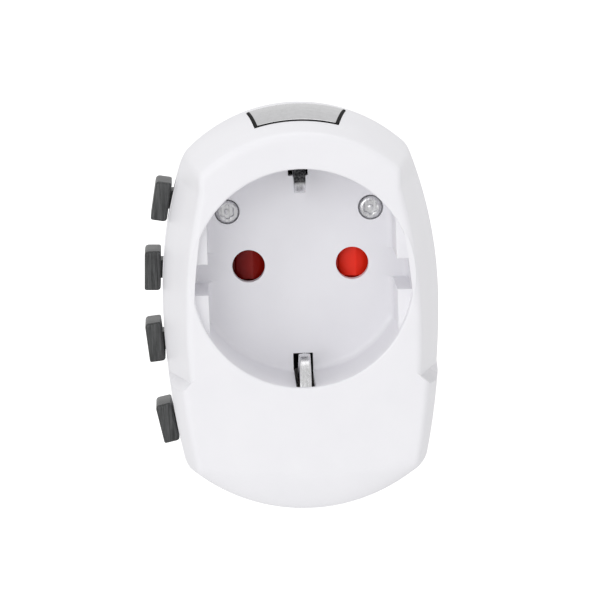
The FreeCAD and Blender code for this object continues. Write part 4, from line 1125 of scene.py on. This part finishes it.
# the last colour is painted shade for the upper strip where it enters its slot
sprung_steel = strip_steel(
    "sprung_steel", (0.62, 0.62, 0.63), (0.84, 0.84, 0.85),
    (0.012, 0.012, 0.014),
).material
brass = plated_metal(
    "stamped_brass", (0.55, 0.38, 0.14), (0.74, 0.56, 0.26),
    (0.22, 0.38), 1400.0,
).material
plated_pin = plated_metal(
    "nickel_pin", (0.60, 0.58, 0.54), (0.75, 0.73, 0.69),
    (0.14, 0.26), 1600.0,
).material
grey_insulator = moulded_plastic(
    "grey_insulator", (0.30, 0.31, 0.33), (0.38, 0.39, 0.41),
    (0.45, 0.60),
).material
dark_knob = streaked_plastic(
    "charcoal_knob", (0.006, 0.007, 0.007), (0.085, 0.087, 0.088),
    (0.30, 0.42),
).material
dark_carriage = moulded_plastic(
    "charcoal_carriage", (0.035, 0.035, 0.038), (0.060, 0.060, 0.064),
    (0.45, 0.60),
).material
black_sleeve = moulded_plastic(
    "black_collar", (0.012, 0.012, 0.013), (0.024, 0.024, 0.025),
    (0.35, 0.50),
).material
# painted shade and light: the first red is the shaded left end of the gate, the second the lit right end
red_shutter = gate_plastic("red_gate_plastic", (0.13, 0.001, 0.001), (0.95, 0.028, 0.010))
key_carrier_black = moulded_plastic(
    "key_carrier_black", (0.003, 0.003, 0.003), (0.006, 0.006, 0.006),
    (0.5, 0.65), Specular_IOR_Level=0.05,
).material
fuse_glaze = moulded_plastic(
    "fuse_ceramic", (0.70, 0.67, 0.60), (0.80, 0.78, 0.72),
    (0.18, 0.30),
).material

BY_SLOT = {
    "white_shell": white_shell, "chrome_key": chrome_key, "screw_steel": screw_steel,
    "sprung_steel": sprung_steel, "brass": brass, "plated_pin": plated_pin,
    "grey_insulator": grey_insulator, "dark_knob": dark_knob, "dark_carriage": dark_carriage,
    "black_sleeve": black_sleeve, "red_shutter": red_shutter, "fuse_tube": fuse_glaze,
}

# ---------------------------------------------------------------- build the pieces
for part in frame["record"]["subparts"]:
    node = frame["nodes"][part["node"]]
    node.data.materials.clear()
    node.data.materials.append(BY_SLOT[part["material_slot"]])

front_cover(white_shell)
main_housing(white_shell)
rear_cover(white_shell)
release_key(chrome_key, key_carrier_black)
for set_name in KNOB_SETS:
    thumb_knob(set_name, dark_knob)
earth_clip("earth_clip_top", 1.0, sprung_steel)
earth_clip("earth_clip_bottom", -1.0, sprung_steel)
floor_screws(screw_steel)
wall_plate_screw(screw_steel)
safety_gate(red_shutter)


# ---------------------------------------------------------------- stage, light and camera
def place_floor():
    """Wide pale floor well below the part, which hangs by its wall face."""
    half = 12.0
    height = -0.45
    mesh = bpy.data.meshes.new("floor")
    sides = [(-half, -half), (half, -half), (half, half), (-half, half)]
    corners = [(x, y, height) for x, y in sides]
    mesh.from_pydata(corners, [], [[0, 1, 2, 3]])
    floor = bpy.data.objects.new("floor", mesh)
    bpy.context.scene.collection.objects.link(floor)
    finish = Finish("pale_floor")
    grain = finish.group(GRAIN, Fine=40.0, Broad=2.0)
    shades = [(0.3, (0.93, 0.93, 0.93)), (0.7, (0.95, 0.95, 0.95))]
    finish.feed("Base Color", finish.ramp(grain.outputs["Mottle"], shades))
    finish.constant(Roughness=0.9, Emission_Color=(1.0, 1.0, 1.0, 1.0))
    seen = finish.tree.nodes.new("ShaderNodeLightPath").outputs["Is Camera Ray"]
    finish.feed("Emission Strength", add_math(finish.tree, "MULTIPLY", seen, 0.5))
    mesh.materials.append(finish.material)


def soft_light(name, position, target, size, power):
    """Square soft box at a position, aimed at a target; power in watts."""
    lamp = bpy.data.lights.new(name, "AREA")
    lamp.shape = "SQUARE"
    lamp.size = size
    lamp.energy = power
    holder = bpy.data.objects.new(name, lamp)
    holder.location = position
    away = Vector(position) - Vector(target)
    holder.rotation_euler = away.to_track_quat("Z", "Y").to_euler()
    bpy.context.scene.collection.objects.link(holder)


def light_scene():
    """White surroundings, brighter to the camera than to the part, and three soft boxes."""
    world = bpy.data.worlds.new("studio")
    bpy.context.scene.world = world
    world.use_nodes = True
    world.node_tree.nodes["Background"].inputs["Color"].default_value = (1.0, 1.0, 1.0, 1.0)
    tree = world.node_tree
    seen = tree.nodes.new("ShaderNodeLightPath").outputs["Is Camera Ray"]
    strength = add_math(tree, "ADD", add_math(tree, "MULTIPLY", seen, 0.4), 0.79)
    tree.links.new(strength, tree.nodes["Background"].inputs["Strength"])
    soft_light("left_box", (-0.72, -0.70, 0.30), (0, 0.02, 0), 0.25, 0.8)
    soft_light("front_box", (-0.32, -0.87, 0.16), (0, 0.02, 0), 0.40, 1.15)
    soft_light("top_box", (0.05, 0.05, 0.8), (0, 0.02, 0), 0.5, 0.7)


def place_camera():
    """Camera a little above and to the left of the socket axis, rolled slightly."""
    distance = 0.8
    elevation = math.radians(9.1)
    azimuth = math.radians(-1.3)
    roll = math.radians(-1.7)
    level = math.cos(elevation)
    back = Vector((math.sin(azimuth) * level, -math.cos(azimuth) * level, math.sin(elevation)))
    right = Vector((math.cos(azimuth), math.sin(azimuth), 0.0))
    up = back.cross(right)
    position = back * distance - right * 0.00067 - up * 0.00373
    turned_right = right * math.cos(roll) + up * math.sin(roll)
    turned_up = up * math.cos(roll) - right * math.sin(roll)
    camera = bpy.data.cameras.new("camera")
    camera.lens = 267.4
    camera.sensor_width = 36.0
    camera.clip_start = 0.01
    camera.clip_end = 50.0
    holder = bpy.data.objects.new("camera", camera)
    turn = Matrix((turned_right, turned_up, back)).transposed().to_4x4()
    holder.matrix_world = Matrix.Translation(position) @ turn
    bpy.context.scene.collection.objects.link(holder)
    bpy.context.scene.camera = holder


place_floor()
light_scene()
place_camera()
bpy.context.scene.view_settings.view_transform = "Standard"
